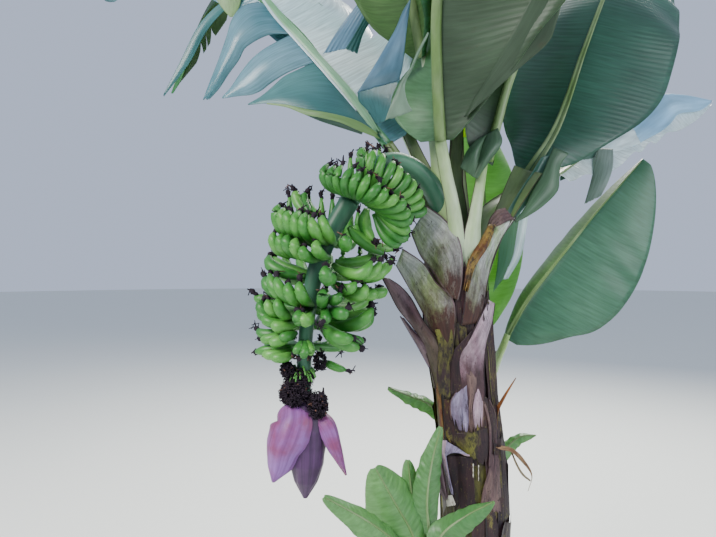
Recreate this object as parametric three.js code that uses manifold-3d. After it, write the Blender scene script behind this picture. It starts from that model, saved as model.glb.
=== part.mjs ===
// A banana plant: a stout trunk of leaf sheaths, a crown of large arching leaves, one hanging
// bunch with an open male bud, and two suckers from the same root.
// Millimetres, +Z up. The origin is the centre of the trunk's flat cut at ground level.

import * as THREE from 'three';
import Module from 'manifold-3d';

const wasm = await Module();
wasm.setup();

// Driving sizes of the plant
const CROWN_HEIGHT = 1560;
const TRUNK_FLARE_RADIUS = 136;
const TRUNK_FOOT_RADIUS = 116;
const TRUNK_MID_RADIUS = 91;
const TRUNK_WAIST_RADIUS = 84;
const TRUNK_TOP_RADIUS = 60;
const TRUNK_LEAN = -60;
const BLADE_THICKNESS = 4;
const RIB_DEPTH = 16;
const PEDUNCLE_RADIUS = 27;
const RACHIS_RADIUS = 19;
const HAND_DEPTH = 58;

// Clearances: how far a piece is grown before a later one is cut back from it, and the slit
// between the two parts of a leaf that is divided at its bend
const CLEARANCE = 0.5;
const SLIT = 0.6;

// Places on the axis of the bunch
const BUNCH_TOP = [-364, -140, 1635];
const BUNCH_FOOT = [-489, -152, 1085];

const plant = new THREE.Group();
const placed = [];

const colours = {
  trunk: 0x4a3427,
  petiole: 0x8fa35a,
  leaf: 0x3f7f4f,
  youngLeaf: 0x76a848,
  sheath: 0x9aa472,
  dry: 0x8b6a48,
  stalk: 0x3d7a4c,
  fruit: 0x58a04a,
  flower: 0x2d2128,
  bract: 0x8d5a86,
};

// How far a blade's rib and a low leaf's foot reach into what carries them, before the cut
const ROOTED = 8;

// Small vector helpers

function vector(point) {
  return new THREE.Vector3(...point);
}

function curveThrough(points) {
  return new THREE.CatmullRomCurve3(points.map(vector), false, 'centripetal');
}

function along(values, t) {
  const place = t * (values.length - 1);
  const low = Math.min(Math.floor(place), values.length - 2);
  const share = place - low;
  if (Array.isArray(values[0])) {
    return values[low].map((value, k) => value * (1 - share) + values[low + 1][k] * share);
  }
  return values[low] * (1 - share) + values[low + 1] * share;
}

function meanPoint(points) {
  const centre = new THREE.Vector3();
  points.forEach((point) => centre.add(point));
  return centre.divideScalar(points.length);
}

// Closed meshes from rings and grids of points

function signedVolume(points, triangles) {
  let sum = 0;
  for (const [a, b, c] of triangles) {
    sum += points[a].dot(points[b].clone().cross(points[c])) / 6;
  }
  return sum;
}

function closedMesh(points, triangles) {
  const outward = signedVolume(points, triangles) > 0;
  return { points, triangles: outward ? triangles : triangles.map(([a, b, c]) => [a, c, b]) };
}

function ringMesh(rings) {
  const sides = rings[0].length;
  const last = rings.length - 1;
  const points = rings.flat();
  const first = points.push(meanPoint(rings[0])) - 1;
  const final = points.push(meanPoint(rings[last])) - 1;
  const triangles = [];
  for (let k = 0; k < sides; k++) {
    const next = (k + 1) % sides;
    triangles.push([first, next, k]);
    triangles.push([final, last * sides + k, last * sides + next]);
    for (let i = 0; i < last; i++) {
      const low = i * sides;
      const high = low + sides;
      triangles.push([low + k, low + next, high + next]);
      triangles.push([low + k, high + next, high + k]);
    }
  }
  return closedMesh(points, triangles);
}

function sheetMesh(upper, lower) {
  const rows = upper.length;
  const columns = upper[0].length;
  const size = rows * columns;
  const points = [...upper.flat(), ...lower.flat()];
  const triangles = [];
  const at = (i, j) => i * columns + j;
  for (let i = 0; i < rows - 1; i++) {
    for (let j = 0; j < columns - 1; j++) {
      const corners = [at(i, j), at(i + 1, j), at(i + 1, j + 1), at(i, j + 1)];
      const [a, b, c, d] = corners;
      triangles.push([a, b, c], [a, c, d]);
      triangles.push([size + a, size + c, size + b], [size + a, size + d, size + c]);
    }
  }
  const foot = Array.from({ length: columns - 1 }, (_, j) => at(0, j));
  const right = Array.from({ length: rows - 1 }, (_, i) => at(i, columns - 1));
  const head = Array.from({ length: columns - 1 }, (_, j) => at(rows - 1, columns - 1 - j));
  const left = Array.from({ length: rows - 1 }, (_, i) => at(rows - 1 - i, 0));
  const rim = [...foot, ...right, ...head, ...left];
  rim.forEach((a, k) => {
    const b = rim[(k + 1) % rim.length];
    triangles.push([a, b, size + b], [a, size + b, size + a]);
  });
  return closedMesh(points, triangles);
}

// Solids that are cut back from what already stands in their way

function grownPoints({ points, triangles }, amount) {
  const normals = points.map(() => new THREE.Vector3());
  for (const [a, b, c] of triangles) {
    const edge = points[b].clone().sub(points[a]);
    const normal = edge.cross(points[c].clone().sub(points[a]));
    [a, b, c].forEach((k) => normals[k].add(normal));
  }
  return points.map((point, k) => point.clone().addScaledVector(normals[k].normalize(), amount));
}

function solidOf(points, triangles) {
  const vertProperties = new Float32Array(points.flatMap((point) => point.toArray()));
  const triVerts = new Uint32Array(triangles.flat());
  return new wasm.Manifold(new wasm.Mesh({ numProp: 3, vertProperties, triVerts }));
}

function largestBody(solid) {
  const bodies = solid.decompose();
  return bodies.reduce((best, body) => (body.volume() > best.volume() ? body : best));
}

function geometryOf(solid) {
  const mesh = solid.getMesh();
  const geometry = new THREE.BufferGeometry();
  const places = new Float32Array(mesh.vertProperties);
  geometry.setAttribute('position', new THREE.BufferAttribute(places, 3));
  geometry.setIndex(new THREE.BufferAttribute(new Uint32Array(mesh.triVerts), 1));
  geometry.computeVertexNormals();
  return geometry;
}

function place(name, mesh, colour, roughness = 0.7) {
  const box = new THREE.Box3().setFromPoints(mesh.points).expandByScalar(1);
  let solid = solidOf(mesh.points, mesh.triangles);
  for (const other of placed) {
    if (box.intersectsBox(other.box)) solid = solid.subtract(other.grown);
  }
  const body = largestBody(solid);
  const grown = solidOf(grownPoints(mesh, CLEARANCE), mesh.triangles);
  placed.push({ box, grown: grown.add(solidOf(mesh.points, mesh.triangles)) });
  const material = new THREE.MeshStandardMaterial({ color: colour, roughness, metalness: 0 });
  const piece = new THREE.Mesh(geometryOf(body), material);
  piece.name = name;
  plant.add(piece);
}

// A limb: a tapering tube along a curve. Each radius is [across, front to back].

function limb({ path, radii, front = [0, -1, 0], sides = 6, steps = 5 }) {
  const curve = curveThrough(path);
  const rings = [];
  for (let i = 0; i <= steps; i++) {
    const t = i / steps;
    const tangent = curve.getTangentAt(t);
    const across = tangent.clone().cross(vector(front)).normalize();
    const depth = across.clone().cross(tangent).normalize();
    const [wide, deep] = along(radii, t);
    const centre = curve.getPointAt(t);
    const ring = [];
    for (let k = 0; k < sides; k++) {
      const angle = (2 * Math.PI * k) / sides;
      const point = centre.clone();
      point.addScaledVector(across, Math.cos(angle) * wide);
      point.addScaledVector(depth, Math.sin(angle) * deep);
      point.z = Math.max(point.z, 0);
      ring.push(point);
    }
    rings.push(ring);
  }
  return ringMesh(rings);
}

// A blade: a thin sheet either side of a rib. face is the way its upper side looks, droop how
// far each half hangs below that plane, in degrees, from the base to the tip.

const BLADE_COLUMNS = [-1, -0.55, -0.1, 0, 0.1, 0.55, 1];

function widthShare(t, widest, baseRound, tipRound) {
  const quarter = Math.PI / 2;
  const share = t < widest
    ? Math.sin((quarter * t) / widest) ** baseRound
    : Math.cos((quarter * (t - widest)) / (1 - widest)) ** tipRound;
  return Math.max(share, 0.05);
}

function bladeFrame(curve, face, t) {
  const tangent = curve.getTangentAt(t);
  const hint = vector(along(face, t));
  const right = tangent.clone().cross(hint).normalize();
  const upward = right.clone().cross(tangent).normalize();
  return { centre: curve.getPointAt(t), right, upward };
}

function blade({
  rib,
  halves,
  face,
  droop = [[15, 15], [30, 30]],
  widest = 0.35,
  baseRound = [0.7, 0.7],
  tipRound = 0.6,
  curl = 15,
  span = [0, 1],
  steps = 9,
  columns = BLADE_COLUMNS,
  thickness = BLADE_THICKNESS,
  ribDepth = RIB_DEPTH,
}) {
  const curve = curveThrough(rib);
  const upper = [];
  const lower = [];
  for (let i = 0; i <= steps; i++) {
    const t = span[0] + ((span[1] - span[0]) * i) / steps;
    const inset = 0.012 + 0.976 * t;
    const { centre, right, upward } = bladeFrame(curve, face, t);
    const shares = baseRound.map((round) => widthShare(inset, widest, round, tipRound));
    const [droopLeft, droopRight] = along(droop, t);
    const top = [];
    const under = [];
    for (const column of columns) {
      const side = Math.sign(column);
      const far = Math.abs(column);
      const half = side < 0 ? halves[0] * shares[0] : halves[1] * shares[1];
      const hang = (side < 0 ? droopLeft : droopRight) + curl * far;
      const angle = THREE.MathUtils.degToRad(hang);
      const point = centre.clone();
      point.addScaledVector(right, side * far * half * Math.cos(angle));
      point.addScaledVector(upward, -far * half * Math.sin(angle));
      const taper = 1 - 0.75 * t;
      const below = point.clone();
      if (far < 0.2) {
        below.addScaledVector(upward, -Math.max(ribDepth * taper, thickness));
      } else {
        const inward = Math.min(thickness * Math.sin(angle), 0.3 * far * half);
        below.addScaledVector(right, -side * inward);
        below.addScaledVector(upward, -thickness * Math.cos(angle));
      }
      top.push(point);
      under.push(below);
    }
    upper.push(top);
    lower.push(under);
  }
  return sheetMesh(upper, lower);
}

function rootedRib(petiole, rib) {
  const end = vector(petiole[petiole.length - 1]);
  const inward = vector(petiole[petiole.length - 2]).sub(end).setLength(ROOTED);
  return [end.add(inward).toArray(), ...rib.slice(1)];
}

// A hand of bananas: a curved fan of fingers round the stalk, as one solid. Azimuth 0 is to
// the right and 270 to the front, and the fingers reach out and then curve up.

function hand({ at, from, to, reach, rise, steps = 5, depth = HAND_DEPTH }) {
  const rings = [];
  for (let i = 0; i <= steps; i++) {
    const t = i / steps;
    const azimuth = THREE.MathUtils.degToRad(from + (to - from) * t);
    const uneven = 1 + 0.05 * Math.sin(7 * t + from);
    const out = along(reach, t) * uneven;
    const up = along(rise, t) * uneven;
    const profile = [
      [RACHIS_RADIUS - 6, -12],
      [0.45 * out, -0.3 * depth],
      [0.85 * out, 0.15 * up - 0.1 * depth],
      [out, 0.65 * up],
      [out - 0.08 * depth, up],
      [out - 0.75 * depth, up],
      [0.5 * out, 0.3 * up + 0.25 * depth],
      [RACHIS_RADIUS - 6, 0.35 * depth],
    ];
    const ring = profile.map(([radius, height]) => new THREE.Vector3(
      at[0] + radius * Math.cos(azimuth),
      at[1] + radius * Math.sin(azimuth),
      at[2] + height,
    ));
    rings.push(ring);
  }
  return ringMesh(rings);
}

// The trunk, from its flat cut at ground level to the crown

function trunkAxis(height) {
  const share = THREE.MathUtils.smoothstep(height, 700, CROWN_HEIGHT);
  return [TRUNK_LEAN * share, 0, height];
}

function trunk() {
  const levels = [
    [0, TRUNK_FLARE_RADIUS],
    [40, TRUNK_FLARE_RADIUS - 8],
    [120, TRUNK_FOOT_RADIUS],
    [350, 104],
    [600, TRUNK_MID_RADIUS + 2],
    [800, TRUNK_MID_RADIUS],
    [950, 88],
    [1080, TRUNK_WAIST_RADIUS],
    [1200, 90],
    [1300, 91],
    [1400, 87],
    [1490, 76],
    [CROWN_HEIGHT, TRUNK_TOP_RADIUS],
  ];
  const sides = 15;
  const rings = levels.map(([height, radius]) => {
    const centre = vector(trunkAxis(height));
    const ring = [];
    for (let k = 0; k < sides; k++) {
      const angle = (2 * Math.PI * k) / sides;
      const lobed = radius * (1 + 0.03 * Math.sin(3 * angle + height / 300));
      const offset = new THREE.Vector3(Math.cos(angle) * lobed, Math.sin(angle) * lobed, 0);
      ring.push(centre.clone().add(offset));
    }
    return ring;
  });
  return ringMesh(rings);
}

place('trunk', trunk(), colours.trunk, 0.85);

// The stalk of the bunch: an arch out of the crown, then the rachis that hangs from it

const archPath = [
  [-80, -10, 1600],
  [-145, -50, 1700],
  [-224, -80, 1748],
  [-300, -110, 1725],
  BUNCH_TOP,
];
const rachisPath = [
  [-366, -141, 1630],
  [-417, -150, 1540],
  [-454, -152, 1446],
  [-481, -152, 1272],
  BUNCH_FOOT,
];
const thick = [PEDUNCLE_RADIUS, PEDUNCLE_RADIUS];
const thin = [RACHIS_RADIUS, RACHIS_RADIUS];
place('peduncle_arch', limb({ path: archPath, radii: [[32, 32], thick], sides: 9 }), colours.stalk);
place('rachis', limb({ path: rachisPath, radii: [thick, thin, thin], sides: 8 }), colours.stalk);

// The hands, from the top of the bunch to its foot

const hands = [
  { at: [-352, -140, 1606], from: 205, to: 372, reach: [120, 155, 172], rise: [150, 165, 20] },
  { at: [-420, -150, 1516], from: 110, to: 330, reach: [130, 145, 110], rise: [150, 160, 90] },
  { at: [-448, -152, 1412], from: 90, to: 395, reach: [140, 135, 195], rise: [105, 90, 100] },
  { at: [-466, -152, 1330], from: 130, to: 420, reach: [140, 130, 195], rise: [85, 80, 90] },
  { at: [-476, -152, 1262], from: 80, to: 385, reach: [130, 125, 165], rise: [72, 65, 68] },
  { at: [-482, -152, 1210], from: 150, to: 425, reach: [125, 115, 145], rise: [56, 48, 52] },
  { at: [-486, -152, 1166], from: 110, to: 390, reach: [130, 95, 125], rise: [44, 34, 30] },
];
hands.forEach((shape, k) => {
  const depth = k < 5 ? HAND_DEPTH : HAND_DEPTH - 14;
  place(`hand_${k + 1}`, hand({ ...shape, depth }), colours.fruit, 0.5);
});

// The dry flowers round the rachis below the last hand

function flowerCollar() {
  const [x, y] = BUNCH_FOOT;
  const profile = [[14, 1095], [50, 1096], [62, 1118], [48, 1150], [14, 1158]];
  const turns = 8;
  const points = [];
  const triangles = [];
  for (let k = 0; k < turns; k++) {
    const angle = (2 * Math.PI * k) / turns;
    const uneven = 1 + 0.06 * Math.sin(5 * angle);
    for (const [radius, height] of profile) {
      const reach = radius * uneven;
      points.push(new THREE.Vector3(x + reach * Math.cos(angle), y + reach * Math.sin(angle), height));
    }
  }
  const count = profile.length;
  for (let k = 0; k < turns; k++) {
    for (let j = 0; j < count; j++) {
      const here = k * count;
      const there = ((k + 1) % turns) * count;
      const next = (j + 1) % count;
      triangles.push([here + j, there + j, there + next]);
      triangles.push([here + j, there + next, here + next]);
    }
  }
  return closedMesh(points, triangles);
}

place('flower_collar', flowerCollar(), colours.flower, 0.9);

// The male bud: its closed heart and two lifted bracts

const budPath = [BUNCH_FOOT, [-482, -156, 1020], [-481, -160, 930], [-483, -158, 840]];
const budRadii = [[18, 18], [40, 38], [48, 44], [42, 38], [24, 22], [4, 4]];
place('bud_heart', limb({ path: budPath, radii: budRadii, sides: 9, steps: 6 }), colours.bract, 0.5);

const bractShape = {
  widest: 0.45,
  baseRound: [0.6, 0.6],
  tipRound: 0.75,
  thickness: 6,
  ribDepth: 6,
  steps: 6,
  columns: [-1, -0.5, 0, 0.5, 1],
  curl: 40,
};
const leftBract = {
  ...bractShape,
  rib: [[-500, -168, 1082], [-548, -205, 1050], [-578, -215, 970], [-583, -192, 872]],
  halves: [84, 84],
  face: [[-0.3, -0.9, 0.4], [-0.35, -0.95, 0]],
  droop: [[12, 12], [20, 20]],
};
const rightBract = {
  ...bractShape,
  rib: [[-465, -165, 1080], [-420, -185, 1050], [-392, -190, 975], [-375, -172, 897]],
  halves: [66, 66],
  face: [[0.55, -0.75, 0.4], [0.7, -0.7, 0]],
  droop: [[12, 12], [25, 25]],
};
place('bract_left', blade(leftBract), colours.bract, 0.5);
place('bract_right', blade(rightBract), colours.bract, 0.5);

// The big leaves of the crown. Each has a petiole and a blade, and a blade that arches over a
// wide gap is divided at its bend.

const petioleRadii = [[44, 18], [32, 19], [22, 17], [17, 13]];
const bigLeaves = {
  front: {
    petiole: [[-56, -96, 1440], [-70, -94, 1600], [-100, -106, 1720], [-117, -120, 1800]],
    rib: [[-117, -120, 1804], [-134, -172, 1975], [-142, -235, 2135], [-110, -480, 2500],
      [-20, -850, 2720], [60, -1200, 2680], [90, -1450, 2520]],
    halves: [320, 320],
    face: [[0.1, 0.95, 0.3], [0, 0.55, 0.85], [0.1, -0.4, 0.9]],
    droop: [[5, -10], [7, -66], [9, -80], [13, -72], [19, -55], [25, -30], [28, 0],
      [31, 20], [33, 32], [35, 36], [38, 38]],
    widest: 0.3,
    baseRound: [0.9, 0.45],
    bend: 0.5,
  },
  right: {
    petiole: [[5, 5, 1290], [50, 20, 1470], [92, 45, 1570], [150, 75, 1680], [188, 96, 1748]],
    rib: [[190, 98, 1752], [298, 160, 1904], [436, 270, 2209], [530, 340, 2410],
      [690, 550, 2660], [872, 850, 2860], [980, 1060, 2880]],
    halves: [300, 320],
    face: [[-0.3, -0.9, 0.3], [-0.3, -0.85, 0.35], [-0.1, -0.4, 0.9]],
    droop: [[8, 8], [12, 15], [35, 35]],
    widest: 0.33,
    baseRound: [0.8, 0.8],
  },
  left: {
    petiole: [[-85, 30, 1440], [-110, 30, 1550], [-178, 55, 1703], [-248, 98, 1834]],
    rib: [[-251, 100, 1838], [-425, 200, 2079], [-542, 280, 2258], [-685, 350, 2409],
      [-950, 460, 2620], [-1200, 560, 2680], [-1390, 640, 2590]],
    halves: [400, 330],
    face: [[-0.2, -0.9, 0.3], [-0.1, -0.85, 0.4], [-0.1, -0.3, 0.95]],
    droop: [[12, 5], [15, 10], [40, 30]],
    widest: 0.36,
    baseRound: [0.95, 0.5],
  },
  right_back: {
    petiole: [[10, 45, 1430], [70, 130, 1600], [230, 290, 1720], [390, 440, 1800]],
    rib: [[393, 443, 1802], [560, 590, 1905], [760, 720, 2045], [995, 830, 2143],
      [1270, 920, 2205]],
    halves: [150, 170],
    face: [[-0.1, -0.6, 0.8], [0, -0.5, 0.85]],
    droop: [[10, 15], [20, 30]],
    widest: 0.45,
  },
  right_front: {
    petiole: [[-8, -70, 1400], [0, -60, 1560], [20, -35, 1680], [36, -12, 1768]],
    rib: [[37, -10, 1772], [70, 10, 1890], [105, 10, 2012], [205, -20, 2251],
      [390, -160, 2600], [640, -330, 2800], [900, -520, 2780], [1120, -700, 2600]],
    halves: [280, 280],
    face: [[-0.6, 0.75, 0.3], [-0.5, 0.6, 0.6], [0.3, -0.2, 0.9]],
    droop: [[-35, -35], [-62, -66], [-60, -60], [0, 0], [25, 25], [40, 40]],
    widest: 0.4,
    baseRound: [0.6, 0.6],
    bend: 0.55,
  },
  top: {
    petiole: [[-58, 22, 1500], [-58, 26, 1640], [-52, 36, 1760], [-42, 48, 1890]],
    rib: [[-42, 48, 1894], [-20, 80, 2150], [10, 120, 2450], [40, 190, 2750], [60, 290, 3010]],
    halves: [190, 190],
    face: [[0.1, -1, 0.1], [0.1, -0.9, 0.4]],
    droop: [[-40, -40], [-15, -15]],
    widest: 0.5,
  },
  left_back: {
    petiole: [[-70, 58, 1430], [-110, 90, 1640], [-190, 180, 1880], [-290, 290, 2130]],
    rib: [[-292, 292, 2134], [-430, 400, 2390], [-620, 530, 2620], [-820, 660, 2700],
      [-980, 760, 2590], [-1095, 800, 2380], [-1165, 815, 2222]],
    halves: [270, 270],
    face: [[0.35, -0.6, 0.6], [-0.3, -0.1, 0.95], [-0.85, 0.3, 0.4]],
    droop: [[20, 20], [30, 30], [45, 45]],
    bend: 0.5,
  },
  back: {
    petiole: [[-40, 60, 1420], [-35, 110, 1650], [-15, 210, 1900], [5, 330, 2130]],
    rib: [[6, 333, 2134], [25, 480, 2390], [45, 700, 2610], [60, 950, 2680], [70, 1190, 2560],
      [75, 1380, 2320]],
    halves: [300, 300],
    face: [[0, -0.9, 0.4], [0, -0.1, 1], [0, 0.75, 0.6]],
    droop: [[15, 15], [25, 25], [40, 40]],
    bend: 0.5,
  },
  left_front: {
    petiole: [[-95, -45, 1470], [-112, -48, 1640], [-136, -48, 1850], [-158, -60, 2050]],
    rib: [[-159, -61, 2054], [-230, -150, 2330], [-380, -300, 2600], [-600, -470, 2740],
      [-840, -640, 2690], [-1040, -790, 2500], [-1150, -880, 2300]],
    halves: [270, 270],
    face: [[0.7, 0.6, 0.4], [0, 0, 1], [-0.65, -0.5, 0.6]],
    droop: [[15, 15], [25, 25], [40, 40]],
    bend: 0.5,
  },
};

for (const [name, shape] of Object.entries(bigLeaves)) {
  place(`petiole_${name}`, limb({ path: shape.petiole, radii: petioleRadii }), colours.petiole);
}
for (const [name, shape] of Object.entries(bigLeaves)) {
  const whole = { ...shape, rib: rootedRib(shape.petiole, shape.rib) };
  if (shape.bend) {
    const inner = { ...whole, span: [0, shape.bend], steps: 5 };
    const outer = { ...whole, span: [shape.bend + SLIT / 1500, 1], steps: 5 };
    place(`leaf_${name}`, blade(inner), colours.leaf);
    place(`leaf_${name}_tip`, blade(outer), colours.leaf);
  } else {
    place(`leaf_${name}`, blade({ ...whole, steps: 7 }), colours.leaf);
  }
}

// Old sheaths, broken stubs and dry strips on the trunk

const remnants = {
  sheath_left_low: {
    path: [[-233, -40, 1482], [-187, -52, 1431], [-133, -72, 1355], [-98, -86, 1262]],
    radii: [[22, 6], [36, 9], [56, 10], [44, 8]],
    front: [-0.6, -0.8, 0.1],
  },
  sheath_left_high: {
    path: [[-166, -36, 1597], [-117, -66, 1531], [-86, -88, 1446], [-74, -98, 1362]],
    radii: [[36, 6], [58, 8], [38, 8], [12, 5]],
    front: [-0.5, -0.85, 0.1],
  },
  stub_left: {
    path: [[-262, -45, 1420], [-215, -66, 1345], [-160, -74, 1275], [-98, -66, 1195]],
    radii: [[12, 8], [20, 12], [22, 13], [24, 12]],
  },
  stub_left_low: {
    path: [[-216, -70, 1308], [-180, -76, 1240], [-140, -76, 1180], [-84, -62, 1110]],
    radii: [[6, 5], [11, 7], [13, 8], [16, 8]],
  },
  stub_right: {
    path: [[46, -62, 1356], [34, -78, 1310], [10, -90, 1240], [-22, -94, 1150]],
    radii: [[9, 8], [24, 16], [30, 16], [28, 12]],
  },
  sheath_flap: {
    path: [[-75, -70, 965], [-66, -82, 900], [-58, -88, 830], [-55, -86, 765]],
    radii: [[30, 5], [42, 6], [36, 6], [24, 5]],
  },
  dry_strap: {
    path: [[52, -58, 952], [98, -78, 946], [134, -84, 905], [150, -84, 860], [143, -84, 815]],
    radii: [[14, 4], [13, 3], [11, 3], [9, 3], [4, 2]],
  },
  dry_spike: {
    path: [[58, -46, 1000], [86, -58, 1050], [106, -58, 1095], [120, -52, 1136]],
    radii: [[12, 5], [8, 4], [5, 3], [2, 2]],
  },
};
for (const [name, shape] of Object.entries(remnants)) {
  const colour = name.startsWith('dry') ? colours.dry : colours.sheath;
  place(name, limb({ ...shape, sides: 5, steps: 4 }), colour, 0.85);
}

// Suckers: young plants from the same root, one in front to the left and one behind

const suckerStems = {
  sucker_front_stem: {
    path: [[-126, -120, 0], [-146, -148, 300], [-156, -164, 560], [-152, -162, 740]],
    radii: [[46, 46], [38, 38], [28, 28], [18, 18]],
  },
  sucker_back_stem: {
    path: [[45, 168, 0], [58, 190, 420], [78, 197, 850], [92, 190, 1180]],
    radii: [[62, 62], [50, 50], [36, 36], [22, 22]],
  },
};
for (const [name, shape] of Object.entries(suckerStems)) {
  place(name, limb({ ...shape, sides: 8 }), colours.sheath);
}

const youngPetioles = {
  petiole_sucker_right: [[98, 170, 1120], [108, 140, 1170], [118, 124, 1205], [130, 120, 1242]],
  petiole_sucker_back: [[84, 212, 1130], [84, 218, 1200], [84, 224, 1260]],
};
for (const [name, path] of Object.entries(youngPetioles)) {
  const radii = [[16, 12], [13, 10], [11, 9]];
  place(name, limb({ path, radii, steps: 4 }), colours.petiole);
}

const youngLeaves = {
  leaf_sucker_right: {
    rib: [[125, 122, 1228], [195, 128, 1347], [262, 138, 1432], [345, 152, 1530],
      [440, 172, 1640], [600, 200, 1812]],
    halves: [130, 250],
    face: [[-0.3, -0.9, 0.3], [-0.25, -0.9, 0.35]],
    droop: [[50, 5], [50, 8]],
    widest: 0.42,
    baseRound: [0.6, 0.6],
    steps: 7,
  },
  leaf_sucker_back: {
    rib: [[84, 222, 1252], [90, 240, 1479], [94, 275, 1686], [90, 330, 1880], [80, 420, 2050]],
    halves: [170, 170],
    face: [[0.05, -1, 0.15], [0, -0.9, 0.4]],
    droop: [[5, 5], [20, 20]],
    widest: 0.4,
    steps: 6,
  },
  leaf_front_low_left: {
    rib: [[-180, -196, 640], [-228, -235, 740], [-300, -268, 815], [-424, -300, 900]],
    halves: [48, 48],
    face: [[0.2, -0.5, 0.8], [-0.2, -0.7, 0.6]],
    widest: 0.5,
  },
  leaf_front_left: {
    rib: [[-176, -190, 640], [-200, -205, 760], [-245, -212, 845], [-298, -215, 940]],
    halves: [105, 105],
    face: [[0.25, -0.9, 0.3], [0.2, -0.9, 0.3]],
    widest: 0.42,
  },
  leaf_front_rolled: {
    rib: [[-186, -150, 700], [-192, -150, 800], [-202, -148, 880], [-208, -146, 936]],
    halves: [32, 32],
    face: [[0, -1, 0.1], [0, -1, 0.1]],
    droop: [[40, 40], [30, 30]],
    widest: 0.7,
  },
  leaf_front_upright: {
    rib: [[-152, -176, 742], [-160, -176, 830], [-148, -172, 930], [-122, -165, 1030]],
    halves: [42, 52],
    face: [[0.2, -1, 0.1], [0.1, -1, 0.2]],
    widest: 0.35,
  },
  leaf_front_right: {
    rib: [[-146, -176, 690], [-122, -210, 770], [-62, -222, 822], [8, -212, 852]],
    halves: [42, 42],
    face: [[0.4, -0.6, 0.7], [0, -0.6, 0.8]],
    widest: 0.45,
  },
  leaf_low_left: {
    rib: [[-90, 40, 985], [-125, 28, 1040], [-187, 26, 1068], [-252, 30, 1093]],
    halves: [30, 30],
    face: [[0, -0.8, 0.6], [0, -0.8, 0.6]],
    widest: 0.4,
  },
  leaf_low_right: {
    rib: [[72, 40, 850], [124, 88, 898], [165, 98, 925], [214, 100, 930]],
    halves: [26, 26],
    face: [[0, -0.7, 0.7], [0, -0.7, 0.7]],
    widest: 0.45,
  },
};
for (const [name, shape] of Object.entries(youngLeaves)) {
  const lean = { steps: 4, columns: [-1, -0.5, 0, 0.5, 1], thickness: 3, ribDepth: 8 };
  place(name, blade({ ...lean, ...shape }), colours.youngLeaf);
}

export default plant;
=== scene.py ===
"""A banana plant with its hanging bunch, open male bud and suckers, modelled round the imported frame.

Metres, +Z up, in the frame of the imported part. Azimuths are in degrees: 0 is to the right of
the photograph, 90 away from it and 270 towards it."""

import math

import bpy
import numpy as np
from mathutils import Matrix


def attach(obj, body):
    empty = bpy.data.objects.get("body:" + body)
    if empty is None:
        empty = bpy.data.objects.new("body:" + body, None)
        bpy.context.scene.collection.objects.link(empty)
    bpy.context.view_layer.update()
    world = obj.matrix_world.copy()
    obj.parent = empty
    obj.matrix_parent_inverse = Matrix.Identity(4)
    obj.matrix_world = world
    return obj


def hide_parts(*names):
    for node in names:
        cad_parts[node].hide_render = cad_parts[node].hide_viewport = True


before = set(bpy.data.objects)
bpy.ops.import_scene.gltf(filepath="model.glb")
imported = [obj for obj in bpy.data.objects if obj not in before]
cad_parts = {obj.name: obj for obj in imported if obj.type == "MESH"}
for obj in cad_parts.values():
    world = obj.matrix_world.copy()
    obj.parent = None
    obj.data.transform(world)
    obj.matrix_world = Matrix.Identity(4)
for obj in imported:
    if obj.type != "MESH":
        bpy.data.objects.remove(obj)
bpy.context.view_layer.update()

SEED = 11
BODY = "root"

# The photograph's camera
CAMERA_PLACE = (-0.342, -1.65, 1.45)
PHOTO_WIDTH = 716
PHOTO_MIDDLE = (358, 268.5)
FOCAL_PIXELS = 560
SENSOR = 36.0
TOWARDS_PHOTO = (0.0, -1.0, 0.0)

# Driving sizes
CROWN_HEIGHT = 1.56
TRUNK_LEAN = -0.06
TRUNK_LEVELS = [0.0, 0.04, 0.12, 0.35, 0.6, 0.8, 0.95, 1.08, 1.2, 1.3, 1.4, 1.49, CROWN_HEIGHT]
TRUNK_RADII = [0.136, 0.128, 0.116, 0.104, 0.093, 0.091, 0.088, 0.084, 0.09, 0.091, 0.087, 0.076, 0.06]
TRUNK_GRAIN_RADIUS = 0.09
RIB_START = 0.0165
RIB_END = 0.002
RIB_REACH = 0.985
VEIN_PITCH = 0.0085
LEAF_THICKNESS = 0.0012
YOUNG_THICKNESS = 0.0009
SHEATH_THICKNESS = 0.003
PATCH_RIM = 0.0011
BRACT_THICKNESS = 0.004
STEM_DEPTHS = [0.006, 0.012, 0.014, 0.014, 0.015]
STEM_RIM = 0.0016
BLADE_WELD = 0.0004
YOUNG_WELD = 0.0003

# Rows, columns and steps of the meshes
CURVE_STEPS = 60
CORE_ROWS, CORE_COLUMNS = 300, 120
SHEATH_PITCH, SHEATH_COLUMNS = 0.012, 22
CHANNEL_ROWS, CHANNEL_COLUMNS = 46, 19
PATCH_ROWS, PATCH_COLUMNS = 36, 19
BLADE_ROWS, YOUNG_ROWS, BLADE_COLUMNS = 350, 110, 14
RIB_ROWS, RIB_SIDES = 90, 24
STEM_SIDES = 28
FINGER_STEPS, FINGER_SIDES = 16, 12
FLOWER_STEPS, FLOWER_SIDES = 6, 7
SMALL_FRUIT_STEPS = 8
FIBRE_SIDES = 4
BUD_ROWS, BUD_SIDES = 90, 96
BRACT_ROWS, BRACT_COLUMNS = 70, 61


def colour(red, green, blue):
    """A screen colour from 0 to 255 as linear light, with alpha."""
    channels = []
    for value in (red, green, blue):
        share = value / 255
        channels.append(share / 12.92 if share <= 0.04045 else ((share + 0.055) / 1.055) ** 2.4)
    return (*channels, 1.0)


def dice(name):
    """A random generator that depends only on the piece's name."""
    return np.random.default_rng([SEED, *name.encode()])


def smooth(value, low, high):
    """Rises from 0 to 1 between low and high."""
    share = np.clip((value - low) / (high - low), 0, 1)
    return share * share * (3 - 2 * share)


def blend(values, t):
    """Values spread evenly from 0 to 1, read at each t."""
    table = np.array(values, float)
    places = np.linspace(0, 1, len(table))
    if table.ndim == 1:
        return np.interp(t, places, table)
    return np.stack([np.interp(t, places, column) for column in table.T], axis=-1)


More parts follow.
